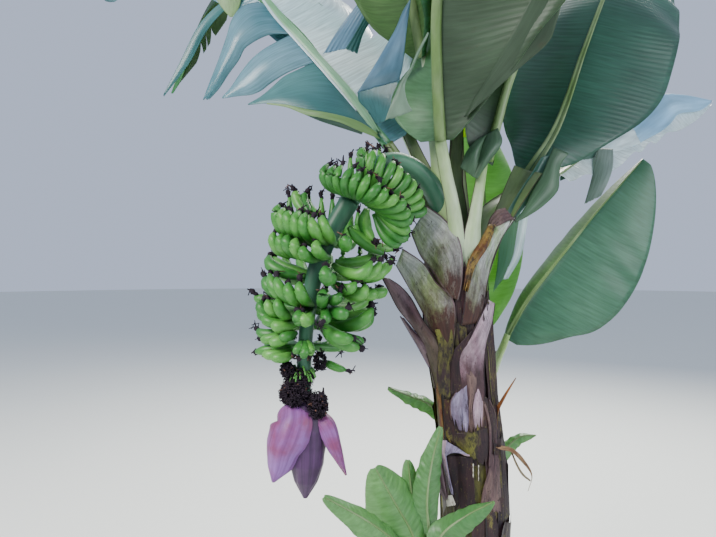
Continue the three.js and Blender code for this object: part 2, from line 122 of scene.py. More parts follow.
def unit(vectors):
    return vectors / np.maximum(np.linalg.norm(vectors, axis=-1, keepdims=True), 1e-9)


def outward(azimuth):
    """The level direction of an azimuth."""
    angle = np.radians(azimuth)
    return np.stack([np.cos(angle), np.sin(angle), np.zeros_like(angle)], axis=-1)


def circle(sides):
    return np.linspace(0, 2 * np.pi, sides, endpoint=False)


def from_picture(points, depth=None):
    """Points of the photograph, in pixels across and down, in metres to the millimetre. Each has its
    place along Y as a third number, or depth is the same place for all."""
    spots = np.array(points, float)
    y = spots[:, 2] if depth is None else np.full(len(spots), depth)
    scale = (y - CAMERA_PLACE[1]) / FOCAL_PIXELS
    x = CAMERA_PLACE[0] + (spots[:, 0] - PHOTO_MIDDLE[0]) * scale
    z = CAMERA_PLACE[2] + (PHOTO_MIDDLE[1] - spots[:, 1]) * scale
    return np.stack([x, y, z], axis=-1).round(3)


class Curve:
    """A smooth curve through points (a centripetal Catmull-Rom one), read by its share of arc length."""

    def __init__(self, points):
        knots = np.array(points, float)
        ends = np.vstack([2 * knots[0] - knots[1], knots, 2 * knots[-1] - knots[-2]])
        share = np.linspace(0, 1, CURVE_STEPS, endpoint=False)[:, None]
        pieces = []
        for a, b, c, d in zip(ends, ends[1:], ends[2:], ends[3:]):
            before, middle, after = (np.linalg.norm(q - p) ** 0.5 for p, q in ((a, b), (b, c), (c, d)))
            start = ((b - a) / before - (c - a) / (before + middle) + (c - b) / middle) * middle
            end = ((c - b) / middle - (d - b) / (middle + after) + (d - c) / after) * middle
            square = -3 * b + 3 * c - 2 * start - end
            cube = 2 * b - 2 * c + start + end
            pieces.append(b + start * share + square * share**2 + cube * share**3)
        self.line = np.vstack([*pieces, knots[-1:]])
        steps = np.linalg.norm(np.diff(self.line, axis=0), axis=1)
        lengths = np.concatenate([[0], np.cumsum(steps)])
        self.length = lengths[-1]
        self.shares = lengths / self.length
        self.slopes = unit(np.gradient(self.line, axis=0))

    def at(self, t):
        return np.stack([np.interp(t, self.shares, axis) for axis in self.line.T], axis=-1)

    def tangent(self, t):
        return unit(np.stack([np.interp(t, self.shares, axis) for axis in self.slopes.T], axis=-1))

    def frame(self, t, hint):
        """Place, right and up at each t, with up as near to hint as it can be."""
        tangent = self.tangent(t)
        right = unit(np.cross(tangent, hint))
        return self.at(t), right, np.cross(right, tangent)


def grain(curve, t, across):
    """The map of a piece: metres along its curve, and across it."""
    return np.stack(np.broadcast_arrays(t[:, None] * curve.length, across), axis=-1)


def rings_round(axes, x, y):
    """Rings of points, x to the right and y above each place of a curve's frame."""
    centre, right, up = (axis[:, None] for axis in axes)
    return centre + right * x[..., None] + up * y[..., None]


def quads(rows, columns, closed=False):
    """Faces between rows of points; closed joins the last column to the first."""
    numbers = np.arange(rows * columns).reshape(rows, columns)
    if closed:
        numbers = np.hstack([numbers, numbers[:, :1]])
    corners = [numbers[:-1, :-1], numbers[1:, :-1], numbers[1:, 1:], numbers[:-1, 1:]]
    return np.stack(corners, -1).reshape(-1, 4)


class Shape:
    """A mesh put together from grids of points, with a material number for each face."""

    def __init__(self):
        self.points = []
        self.faces = []
        self.kinds = []
        self.maps = []
        self.count = 0

    def add(self, points, faces, kind, uv):
        """Adds groups of faces. kind is one material number, or a list with those of each group."""
        points = np.asarray(points, float).reshape(-1, 3)
        self.points.append(points)
        self.maps.append(np.zeros((len(points), 2)) if uv is None else np.asarray(uv).reshape(-1, 2))
        for number, face in enumerate(faces):
            face = np.asarray(face, int)
            self.faces.append(face + self.count)
            self.kinds.append(np.broadcast_to(kind[number] if isinstance(kind, list) else kind, len(face)))
        self.count += len(points)

    def grid(self, points, kind, uv):
        self.add(points, [quads(*points.shape[:2])], kind, uv)

    def tube(self, rings, kind=0, uv=None):
        """Rings of points joined into a tube with both ends closed. kind may differ by column."""
        rows, columns = rings.shape[:2]
        first, last = rows * columns, rows * columns + 1
        step = np.arange(columns)
        after = np.roll(step, -1)
        start = np.stack([np.full(columns, first), step, after], -1)
        end = np.stack([np.full(columns, last), after, step], -1)
        end[:, 1:] += first - columns
        points = np.vstack([rings.reshape(-1, 3), rings[0].mean(0), rings[-1].mean(0)])
        if uv is not None:
            uv = np.vstack([uv.reshape(-1, 2), uv[0, :1], uv[-1, :1]])
        kinds = np.broadcast_to(kind, columns)
        faces = [quads(rows, columns, closed=True), start, end]
        self.add(points, faces, [np.tile(kinds, rows - 1), kinds, kinds], uv)

    def mesh(self, name):
        mesh = bpy.data.meshes.new(name)
        points = np.vstack(self.points)
        corners = np.concatenate([face.ravel() for face in self.faces])
        sizes = np.concatenate([np.full(len(face), face.shape[1]) for face in self.faces])
        mesh.vertices.add(len(points))
        mesh.vertices.foreach_set("co", points.ravel())
        mesh.loops.add(len(corners))
        mesh.loops.foreach_set("vertex_index", corners)
        mesh.polygons.add(len(sizes))
        mesh.polygons.foreach_set("loop_start", np.concatenate([[0], np.cumsum(sizes)[:-1]]))
        mesh.polygons.foreach_set("loop_total", sizes)
        mesh.polygons.foreach_set("material_index", np.concatenate(self.kinds))
        mesh.polygons.foreach_set("use_smooth", np.ones(len(sizes), bool))
        layer = mesh.uv_layers.new(name="grain")
        layer.data.foreach_set("uv", np.vstack(self.maps)[corners].ravel())
        mesh.update(calc_edges=True)
        mesh.validate()
        return mesh

    def piece(self, name, materials, slot, replaces=(), thickness=None, weld=None):
        """An object of this shape. With a thickness it is a shell, and the second half of its
        materials is for the shell's other side. Points nearer than weld are joined."""
        mesh = self.mesh(name)
        for material in materials:
            mesh.materials.append(material)
        thing = bpy.data.objects.new(name, mesh)
        bpy.context.scene.collection.objects.link(thing)
        if weld:
            join = thing.modifiers.new("weld", "WELD")
            join.merge_threshold = weld
        if thickness:
            shell = thing.modifiers.new("shell", "SOLIDIFY")
            shell.thickness = thickness
            shell.offset = 0
            shell.material_offset = len(materials) // 2
            shell.material_offset_rim = 0
        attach(thing, BODY)
        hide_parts(*replaces)


# Materials


class Nodes:
    """A short way to write a material's node tree."""

    def __init__(self, name):
        self.material = bpy.data.materials.new(name)
        self.material.use_nodes = True
        self.tree = self.material.node_tree
        self.shader = self.tree.nodes["Principled BSDF"]

    def fill(self, node, socket, value):
        """Links a node's socket, or sets its value."""
        if isinstance(value, bpy.types.NodeSocket):
            self.tree.links.new(value, node.inputs[socket])
        else:
            node.inputs[socket].default_value = value

    def new(self, kind, values=(), **settings):
        node = self.tree.nodes.new(kind)
        for key, value in settings.items():
            setattr(node, key, value)
        for socket, value in dict(values).items():
            self.fill(node, socket, value)
        return node

    def link(self, output, socket):
        self.tree.links.new(output, self.shader.inputs[socket])

    def place(self, source="Object"):
        """Object coordinates, or the UV map, which runs along a piece and across it."""
        if source == "Object":
            return self.new("ShaderNodeTexCoord").outputs["Object"]
        return self.new("ShaderNodeUVMap", uv_map="grain").outputs["UV"]

    def noise(self, scale, stretch=(1, 1, 1), source="Object", detail=4.0, rough=0.55, shift=0.0):
        """Noise of so many waves to the metre, drawn out by stretch and moved by shift."""
        values = {"Vector": self.place(source), "Scale": stretch, "Location": (shift, shift, shift)}
        moved = self.new("ShaderNodeMapping", values)
        values = {"Vector": moved.outputs[0], "Scale": scale, "Detail": detail, "Roughness": rough}
        return self.new("ShaderNodeTexNoise", values).outputs["Fac"]

    def ramp(self, value, start, end):
        """From a place and a grey level to another, with nothing but them before and after."""
        node = self.new("ShaderNodeValToRGB", {"Fac": value})
        for element, (place, grey) in zip(node.color_ramp.elements, (start, end)):
            element.position = place
            element.color = (grey, grey, grey, 1)
        return node.outputs["Color"]

    def mix(self, share, one, other, kind="MIX"):
        """Mixes two shades, each a socket or a screen colour of three numbers."""
        node = self.new("ShaderNodeMix", {0: share}, data_type="RGBA", blend_type=kind)
        self.fill(node, 6, colour(*one) if isinstance(one, tuple) else one)
        self.fill(node, 7, colour(*other) if isinstance(other, tuple) else other)
        return node.outputs[2]

    def times(self, one, other):
        return self.mix(1.0, one, other, "MULTIPLY")

    def bump(self, height, strength, distance):
        node = self.new("ShaderNodeBump", {"Height": height, "Strength": strength, "Distance": distance})
        self.link(node.outputs["Normal"], "Normal")
        return node.outputs["Normal"]

    def gloss(self, rough, specular):
        self.shader.inputs["Roughness"].default_value = rough
        self.shader.inputs["Specular IOR Level"].default_value = specular

    def glow(self, shade, share, normal):
        """Lets light from behind through the piece."""
        through = self.new("ShaderNodeBsdfTranslucent", {"Color": colour(*shade), "Normal": normal})
        values = {0: share, 1: self.shader.outputs[0], 2: through.outputs[0]}
        mixed = self.new("ShaderNodeMixShader", values)
        output = self.tree.nodes["Material Output"]
        self.tree.links.new(mixed.outputs[0], output.inputs["Surface"])


def leaf_material(name, deep, light, through, rough, share, stain=None):
    """A satin blade with fine veins from rib to margin, paler in patches, and brown stains if any."""
    n = Nodes(name)
    veins = n.noise(1.0, (150, 2.5, 1), "grain", detail=4)
    patches = n.noise(3.2, detail=3)
    green = n.mix(n.ramp(patches, (0.35, 0.0), (0.68, 1.0)), deep, light)
    fine = n.ramp(veins, (0.34, 0.72), (0.66, 1.18))
    shade = n.times(green, fine)
    if stain is not None:
        marks = n.noise(1.0, (26, 5, 1), "grain", detail=6, rough=0.7)
        where = n.noise(3.4, detail=2, shift=1.7)
        both = n.times(n.ramp(marks, (0.55, 0.0), (0.66, 1.0)), n.ramp(where, (0.5, 0.0), (0.62, 0.8)))
        shade = n.mix(both, shade, stain)
    n.link(shade, "Base Color")
    n.gloss(rough, 0.45)
    normal = n.bump(veins, 0.35, 0.0012)
    n.glow(through, share, normal)
    return n.material


def rib_material(name, green, pale):
    """A waxy rib or petiole, with a pale bloom in patches and long faint streaks."""
    n = Nodes(name)
    bloom = n.noise(9.0, (1, 1, 0.35), detail=5)
    streaks = n.noise(1.0, (14, 60, 1), "grain", detail=3)
    base = n.mix(n.ramp(bloom, (0.42, 0.0), (0.66, 1.0)), green, pale)
    shade = n.times(base, n.ramp(streaks, (0.3, 0.8), (0.7, 1.1)))
    n.link(shade, "Base Color")
    n.gloss(0.45, 0.4)
    n.bump(streaks, 0.25, 0.0015)
    return n.material


def sheath_material(name, main, other, spots, amount, rough, blotch, foot=None):
    """A leaf sheath: lengthwise fibres, two shades in wide patches, and blotches and specks of a
    third. foot is a shade that takes over towards its foot, with the lengths where it does."""
    n = Nodes(name)
    wide = n.noise(9.0, (1, 1, 0.4), detail=7, rough=0.7)
    fibres = n.noise(1.0, (10, 95, 1), "grain", detail=5, rough=0.65)
    blotches = n.noise(30.0, (1, 1, 0.45), detail=8, rough=0.78, shift=3.0)
    specks = n.noise(150.0, (1, 1, 0.6), detail=4, rough=0.7, shift=5.0)
    shade = n.mix(n.ramp(wide, (amount - 0.07, 0.0), (amount + 0.07, 1.0)), main, other)
    if foot is not None:
        dark, start, end = foot
        along = n.new("ShaderNodeSeparateXYZ", {0: n.place("grain")}).outputs["X"]
        ragged = n.new("ShaderNodeMath", {0: blotches, 1: 0.34, 2: along}, operation="MULTIPLY_ADD")
        share = n.ramp(ragged.outputs[0], (start + 0.12, 0.0), (end + 0.2, 1.0))
        shade = n.mix(share, shade, dark)
    shade = n.mix(n.ramp(blotches, (blotch - 0.03, 0.0), (blotch + 0.03, 0.9)), shade, spots)
    shade = n.mix(n.ramp(specks, (0.6, 0.0), (0.66, 0.7)), shade, spots)
    shade = n.times(shade, n.ramp(fibres, (0.3, 0.4), (0.7, 1.4)))
    n.link(shade, "Base Color")
    n.gloss(rough, 0.3)
    height = n.mix(0.5, fibres, blotches)
    n.bump(height, 0.7, 0.004)
    return n.material


def fruit_material(name, deep, light):
    """Unripe skin: green with a soft shine and faint pale freckles."""
    n = Nodes(name)
    patches = n.noise(22.0, detail=3)
    freckles = n.noise(420.0, detail=2)
    base = n.mix(n.ramp(patches, (0.3, 0.0), (0.7, 1.0)), deep, light)
    shade = n.times(base, n.ramp(freckles, (0.3, 0.9), (0.7, 1.08)))
    n.link(shade, "Base Color")
    n.gloss(0.43, 0.45)
    n.bump(freckles, 0.12, 0.0006)
    return n.material


def dull_material(name, dark, light, scale=60.0, rough=0.85):
    """Something dry, with uneven shade and a rough skin."""
    n = Nodes(name)
    grain = n.noise(scale, detail=5, rough=0.7)
    n.link(n.mix(n.ramp(grain, (0.35, 0.0), (0.68, 1.0)), dark, light), "Base Color")
    n.gloss(rough, 0.25)
    n.bump(grain, 0.5, 0.002)
    return n.material


def bract_material(name, purple, bloom, grooves):
    """A bract: waxy bloom over purple, with fine grooves along it."""
    n = Nodes(name)
    lines = n.noise(1.0, (2.5, 95, 1), "grain", detail=3)
    wide = n.noise(11.0, detail=5, rough=0.6)
    base = n.mix(n.ramp(wide, (0.36, 0.0), (0.64, 1.0)), purple, bloom)
    shade = n.mix(n.ramp(lines, (0.45, 0.0), (0.72, 0.75)), base, grooves)
    n.link(shade, "Base Color")
    n.gloss(0.5, 0.4)
    n.shader.inputs["Sheen Weight"].default_value = 0.08
    n.bump(lines, 0.4, 0.0015)
    return n.material


# Blades: deep and light shade, the shade that shines through, roughness, the share of light that
# comes through, and the shade of stains if any
LEAF_TINTS = {
    "upper": ((40, 88, 62), (62, 116, 82), (150, 200, 60), 0.32, 0.4),
    # teal: the blade's green with a painted sky sheen laid into it
    "teal": ((66, 114, 130), (124, 160, 180), (90, 170, 120), 0.26, 0.3),
    "under": ((38, 58, 38), (60, 80, 60), (110, 150, 50), 0.5, 0.2, (58, 50, 30)),
    "under_green": ((64, 106, 72), (92, 132, 98), (120, 180, 70), 0.5, 0.3),
    # deep: the blade's green darkened as painted shade, for blades and patches that lie in shadow
    "deep": ((38, 76, 64), (54, 98, 82), (60, 120, 60), 0.38, 0.2),
    "band": ((70, 106, 56), (104, 138, 82), (110, 150, 80), 0.42, 0.12),
    "young": ((60, 104, 86), (90, 130, 112), (140, 200, 90), 0.42, 0.4),
    # bright: a light yellow-green that paints in light shining through the blade from behind
    "bright": ((92, 150, 80), (126, 180, 104), (150, 205, 100), 0.42, 0.5),
    # glare: a near-white painted highlight, the sky's glare laid into the blade's colour
    "glare": ((186, 212, 222), (232, 242, 247), (170, 210, 200), 0.22, 0.3),
    "wing": ((58, 88, 64), (84, 116, 86), (90, 140, 60), 0.42, 0.25),
    "sea": ((52, 98, 104), (86, 134, 138), (80, 150, 110), 0.3, 0.3),
    # blue: the blade's green with a painted sky sheen laid into it
    "blue": ((76, 118, 144), (128, 164, 194), (110, 160, 170), 0.3, 0.2),
    # A pale blue painted reflection of the sky on a blade's upper side
    "painted_sky_sheen": ((118, 166, 202), (166, 204, 230), (130, 190, 200), 0.35, 0.2),
    "haze": ((92, 112, 104), (136, 152, 146), (130, 160, 110), 0.45, 0.2),
    "rib": ((96, 150, 108), (150, 192, 160), (130, 190, 120), 0.34, 0.15),
    "mist": ((88, 118, 96), (128, 152, 134), (130, 180, 110), 0.4, 0.25),
    "hem": ((106, 138, 96), (146, 172, 128), (170, 210, 90), 0.42, 0.4),
    "sunny": ((84, 134, 84), (122, 166, 112), (160, 210, 90), 0.36, 0.4),
    # lime: a strong yellow-green that paints in light shining through the blade from behind
    "lime": ((130, 186, 40), (168, 214, 66), (210, 245, 80), 0.42, 0.6),
}
LEAF = {name: leaf_material("leaf_" + name, *row) for name, row in LEAF_TINTS.items()}

RIB = rib_material("rib", (98, 126, 70), (130, 150, 108))
RIB_DEEP = rib_material("rib_deep", (48, 104, 62), (80, 138, 98))
PETIOLE = rib_material("petiole", (138, 170, 96), (166, 182, 150))
# The hollow side of the petioles, darker than their back: painted shade in the channel
PETIOLE_HOLLOW_SHADE = rib_material("petiole_hollow_shade", (84, 108, 60), (112, 126, 96))
STALK = rib_material("stalk", (34, 80, 58), (68, 114, 88))

# Sheaths: main and other shade, spots, level between the two shades, roughness, level of the
# blotches, and the foot's shade and lengths if it has one
SHEATH_TINTS = {
    "green": ((132, 152, 102), (170, 174, 168), (54, 36, 42), 0.5, 0.5, 0.66, ((58, 34, 28), 0.07, 0.17)),
    "brown": ((54, 32, 34), (30, 16, 28), (104, 98, 46), 0.5, 0.5, 0.6),
    "paper": ((150, 142, 172), (104, 90, 112), (58, 40, 46), 0.5, 0.6, 0.58),
    "purple": ((72, 46, 54), (104, 84, 92), (34, 18, 26), 0.5, 0.55, 0.62, ((62, 58, 34), 0.16, 0.3)),
    "dark": ((26, 14, 22), (48, 26, 30), (84, 78, 38), 0.5, 0.5, 0.62),
    "olive": ((98, 98, 38), (42, 26, 30), (22, 12, 22), 0.5, 0.5, 0.54),
    "tan": ((112, 90, 84), (74, 54, 58), (38, 26, 32), 0.5, 0.65, 0.6),
    "white": ((196, 190, 176), (160, 150, 136), (110, 96, 80), 0.6, 0.7, 0.6),
    "lilac": ((148, 118, 134), (176, 156, 168), (62, 34, 42), 0.5, 0.5, 0.66, ((70, 46, 52), 0.1, 0.22)),
    "rust": ((66, 34, 24), (34, 18, 22), (98, 92, 40), 0.5, 0.5, 0.58),
    "amber": ((138, 116, 50), (88, 50, 26), (30, 16, 16), 0.5, 0.5, 0.56),
    "pale": ((132, 152, 102), (170, 174, 168), (54, 36, 42), 0.5, 0.5, 0.66, ((58, 34, 28), 0.16, 0.26)),
}
SHEATH = {name: sheath_material("sheath_" + name, *row) for name, row in SHEATH_TINTS.items()}

FRUIT_SHADES = [
    fruit_material("fruit_deep", (34, 98, 34), (62, 128, 52)),
    fruit_material("fruit_mid", (44, 114, 38), (76, 142, 58)),
    fruit_material("fruit_light", (58, 126, 46), (96, 158, 70)),
]
FLOWER = dull_material("flower", (18, 12, 20), (50, 38, 50))
FLOWER_PALE = dull_material("flower_pale", (70, 44, 40), (128, 92, 76))
DRY = dull_material("dry", (96, 70, 50), (160, 132, 100), 24.0)
DRY_GREY = dull_material("dry_grey", (84, 78, 62), (146, 138, 112), 24.0)
DRY_RUST = dull_material("dry_rust", (90, 50, 26), (160, 104, 54), 24.0)
BRACT = bract_material("bract", (122, 54, 96), (136, 90, 162), (88, 42, 92))
BRACT_DEEP = bract_material("bract_deep", (46, 18, 50), (78, 44, 88), (32, 14, 44))
BRACT_INNER = dull_material("bract_inner", (120, 40, 44), (150, 66, 66), 14.0, 0.5)


# The trunk: a core with overlapping sheaths, whose edges are torn and lift off


LEAN_START = 0.7
LOBES, LOBE_DEPTH, LOBE_TWIST = 3, 0.03, 0.3
WAVE_COUNTS, WAVE_HEIGHT = (5, 9, 16, 27), 0.0024
GROOVE_WIDTH, GROOVE_DEPTH, CORE_INSET = 0.16, 0.004, 0.004
WANDER_WAVES = 5
TEAR, FLARE, SHEATH_RIPPLE = 0.02, 0.004, 0.0012


def trunk_centre(height):
    share = smooth(height, LEAN_START, CROWN_HEIGHT)
    return np.stack([TRUNK_LEAN * share, np.zeros_like(share), np.asarray(height, float)], axis=-1)


def trunk_surface(height, azimuth, lift):
    radius = np.interp(height, TRUNK_LEVELS, TRUNK_RADII) + lift
    lobes = 1 + LOBE_DEPTH * np.sin(LOBES * np.radians(azimuth) + height / LOBE_TWIST)
    return trunk_centre(height) + outward(azimuth) * (radius * lobes)[..., None]


def wander(rng, t, amount):
    """A smooth random line, by a few sines."""
    line = np.zeros_like(t)
    for k in range(1, WANDER_WAVES + 1):
        line += np.sin(2 * np.pi * (k * t + rng.random())) * rng.normal() / k
    return amount * line


def sheath(shape, kind, low, high, azimuth, half, lift, rng):
    """A strip of sheath round part of the trunk, torn at its top, with edges that stand off."""
    rows = max(8, int((high - low) / SHEATH_PITCH))
    down = np.linspace(0, 1, rows)
    across = np.linspace(-1, 1, SHEATH_COLUMNS)
    tops = high + wander(rng, (across + 1) / 2, TEAR)
    spikes = TEAR * 0.8 * rng.random(SHEATH_COLUMNS) * (rng.random(SHEATH_COLUMNS) > 0.5)
    edge = wander(rng, down, half * 0.06)
    height = low + (tops + spikes - low)[None, :] * down[:, None]
    angle = azimuth + across[None, :] * half + edge[:, None]
    stand = lift + FLARE * np.abs(across[None, :]) ** 6 + FLARE * 1.6 * down[:, None] ** 14
    ripple = SHEATH_RIPPLE * np.sin(across * 21 + azimuth)[None, :] * np.ones_like(height)
    points = trunk_surface(np.clip(height, 0.0, CROWN_HEIGHT), angle, stand + ripple)
    points[..., 2] = np.maximum(height, 0.0)
    uv = np.stack([height, np.radians(angle) * TRUNK_GRAIN_RADIUS], axis=-1)
    shape.grid(points, kind, uv)


def make_core(rng):
    """The round trunk, with shallow waves and the grooves where its sheaths meet."""
    core = Shape()
    levels = np.linspace(0, CROWN_HEIGHT, CORE_ROWS)
    turns = np.linspace(0, 360, CORE_COLUMNS, endpoint=False)
    height, azimuth = np.meshgrid(levels, turns, indexing="ij")
    relief = np.zeros_like(height)
    for count in WAVE_COUNTS:
        turn = rng.random() * 360
        relief += WAVE_HEIGHT / count**0.5 * np.sin(np.radians(count * (azimuth + turn) + 40 * height))
    ridge = np.abs(np.sin(np.radians(azimuth * 2.5) + height * 0.9))
    relief -= GROOVE_DEPTH * smooth(GROOVE_WIDTH - ridge, 0, GROOVE_WIDTH)
    points = trunk_surface(height, azimuth, relief - CORE_INSET)
    points[..., 2] = height
    uv = np.stack([height, np.radians(azimuth) * TRUNK_GRAIN_RADIUS], axis=-1)
    core.tube(points, 0, uv)
    core.piece("trunk_core", [SHEATH["olive"]], "trunk", ["trunk"])


# Sheaths that show: foot height, top height, azimuth, half width in degrees, lift, material
TRUNK_TINTS = ["brown", "olive", "purple", "dark", "tan"]
TRUNK_SHEATHS = [
    (0.0, 0.97, 250, 70, 0.0008, "olive"),
    (0.0, 0.94, 330, 50, 0.0018, "dark"),
    (0.0, 0.90, 60, 80, 0.0010, "brown"),
    (0.0, 0.86, 150, 70, 0.0020, "olive"),
    (0.0, 0.80, 285, 30, 0.0030, "brown"),
    (0.0, 0.78, 225, 26, 0.0035, "purple"),
    (0.0, 0.72, 340, 34, 0.0045, "brown"),
    (0.86, 1.30, 232, 40, 0.0015, "olive"),
    (0.90, 1.40, 300, 40, 0.0022, "dark"),
    (0.90, 1.34, 20, 50, 0.0018, "olive"),
    (0.88, 1.30, 110, 60, 0.0018, "brown"),
    (0.95, 1.28, 185, 40, 0.0028, "brown"),
    (0.98, 1.46, 272, 14, 0.0034, "dark"),
    (1.06, 1.46, 335, 26, 0.0038, "olive"),
    (1.10, 1.50, 215, 34, 0.0040, "purple"),
]
LOOSE_SHEATHS = 15
LOOSE_FROM_GROUND = 6
LOOSE_TINTS = ["brown", "olive", "tan", "dark"]
LOOSE_TOP = 1.45


def make_skins(rng):
    """The sheaths of the list, and loose ones at random."""
    skins = Shape()
    for low, high, turn, half, lift, tint in TRUNK_SHEATHS:
        sheath(skins, TRUNK_TINTS.index(tint), low, high, turn, half, lift, rng)
    for k in range(LOOSE_SHEATHS):
        low = 0.0 if k < LOOSE_FROM_GROUND else rng.uniform(0.2, 1.0)
        high = low + rng.uniform(0.25, 0.6)
        turn = rng.uniform(-20, 200) if k % 3 else rng.uniform(0, 360)
        kind = TRUNK_TINTS.index(rng.choice(LOOSE_TINTS))
        half, lift = rng.uniform(10, 30), rng.uniform(0.003, 0.006)
        sheath(skins, kind, low, min(high, LOOSE_TOP), turn, half, lift, rng)
    skins.piece("trunk_sheaths", [SHEATH[tint] for tint in TRUNK_TINTS], "trunk")


trunk_dice = dice("trunk")
make_core(trunk_dice)
make_skins(trunk_dice)


# Channels: petioles, sheaths and stubs, as curved strips with a hollow upper side


def channel(shape, path, hint, halves, bends, depths, kinds=(0, 1, 2), rim=None, wave=0.0):
    """halves is the half width of the strip, bends its radius of curl and depths its thickness,
    each along the path. hint is the way its hollow side looks, and kinds are the materials of the
    back, of the hollow side and of the rims."""
    curve = Curve(path)
    t = np.linspace(0, 1, CHANNEL_ROWS)
    axes = curve.frame(t, blend(hint, t))
    half, bend, depth = (blend(values, t)[:, None] for values in (halves, bends, depths))
    across = np.sin(np.linspace(-1, 1, CHANNEL_COLUMNS) * np.pi / 2)[None, :]
    angle = across * half / bend
    side = bend * np.sin(angle)
    rise = bend * (1 - np.cos(angle)) + wave * half * np.sin(9 * t[:, None] + 3 * across)
    thick = depth * (1 - 0.9 * np.abs(across) ** 2.5)
    back = rings_round(axes, side, rise)
    front = rings_round(axes, side - thick * np.sin(angle), rise + thick * np.cos(angle))
    uv = grain(curve, t, side)
    ring = np.concatenate([back, front[:, ::-1]], axis=1)
    ring_uv = np.concatenate([uv, uv[:, ::-1]], axis=1)
    columns = back.shape[1]
    shape.tube(ring, np.repeat([kinds[0], kinds[1]], columns), ring_uv)
    if rim:
        edges = [(back[:, column] + front[:, column]) / 2 for column in (0, -1)]
        add_rims(shape, edges, rim * (0.6 + 0.4 * np.sin(np.pi * t)), kinds[2], uv)


def edge_tube(line, radius, sides=6):
    """Rings of a thin tube along a line of points."""
    tangent = unit(np.gradient(line, axis=0))
    right = unit(np.cross(tangent, (0.3, 0.8, 0.52)))
    up = np.cross(right, tangent)
    turn = circle(sides)
    ring = np.cos(turn)[None, :, None] * right[:, None] + np.sin(turn)[None, :, None] * up[:, None]
    return line[:, None] + ring * np.broadcast_to(radius, len(line))[:, None, None]


def add_rims(shape, edges, radius, kind, uv):
    for edge in edges:
        cord = edge_tube(edge, radius)
        shape.tube(cord, kind, np.repeat(uv[:, :1], cord.shape[1], axis=1))


PATCH_PLEAT = 0.0016
BEHIND = 0.02


def patch(shape, kind, name, bulge, lift=None, pleats=0, ragged=0.0, rim=None, veins=False):
    """A sheet between two edges that run from its top to its foot. lift lays it on the trunk, and
    veins turns the grain for a leaf's material."""
    left, right, *depths = PATCHES[name]
    left, right = (from_picture(*edge) for edge in zip((left, right), *depths))
    rng = np.random.default_rng([SEED, int(1000 * abs(left[0][2])), len(shape.points)])
    t = np.linspace(0, 1, PATCH_ROWS)[:, None]
    across = np.linspace(0, 1, PATCH_COLUMNS)
    ends = 1 - ragged * rng.random(PATCH_COLUMNS) * (rng.random(PATCH_COLUMNS) > 0.4)
    reach = t * ends[None, :]
    one, other = Curve(left), Curve(right)
    points = one.at(reach) * (1 - across)[None, :, None] + other.at(reach) * across[None, :, None]
    wave = bulge * np.sin(np.pi * across)[None, :] * np.sin(np.pi * np.clip(t * 0.9 + 0.08, 0, 1))
    wave = wave + PATCH_PLEAT * np.sin(2 * np.pi * pleats * across)[None, :] * (pleats > 0)
    points[..., 1] -= wave
    if lift is not None:
        centre = trunk_centre(points[..., 2])
        radius = np.interp(points[..., 2], TRUNK_LEVELS, TRUNK_RADII) + lift
        offset = points[..., 0] - centre[..., 0]
        surface = -np.sqrt(np.maximum(radius**2 - offset**2, 0))
        points[..., 1] = np.minimum(points[..., 1] + BEHIND, surface - wave * 0.4)
    width = np.linalg.norm(points[0, -1] - points[0, 0]) + 0.01
    side = across[None, :] * width + 0 * t
    uv = np.stack([side, reach] if veins else [reach * one.length, side], axis=-1)
    shape.grid(points, kind, uv)
    if rim is not None:
        add_rims(shape, [points[:, 0], points[:, -1]], PATCH_RIM, rim, uv)


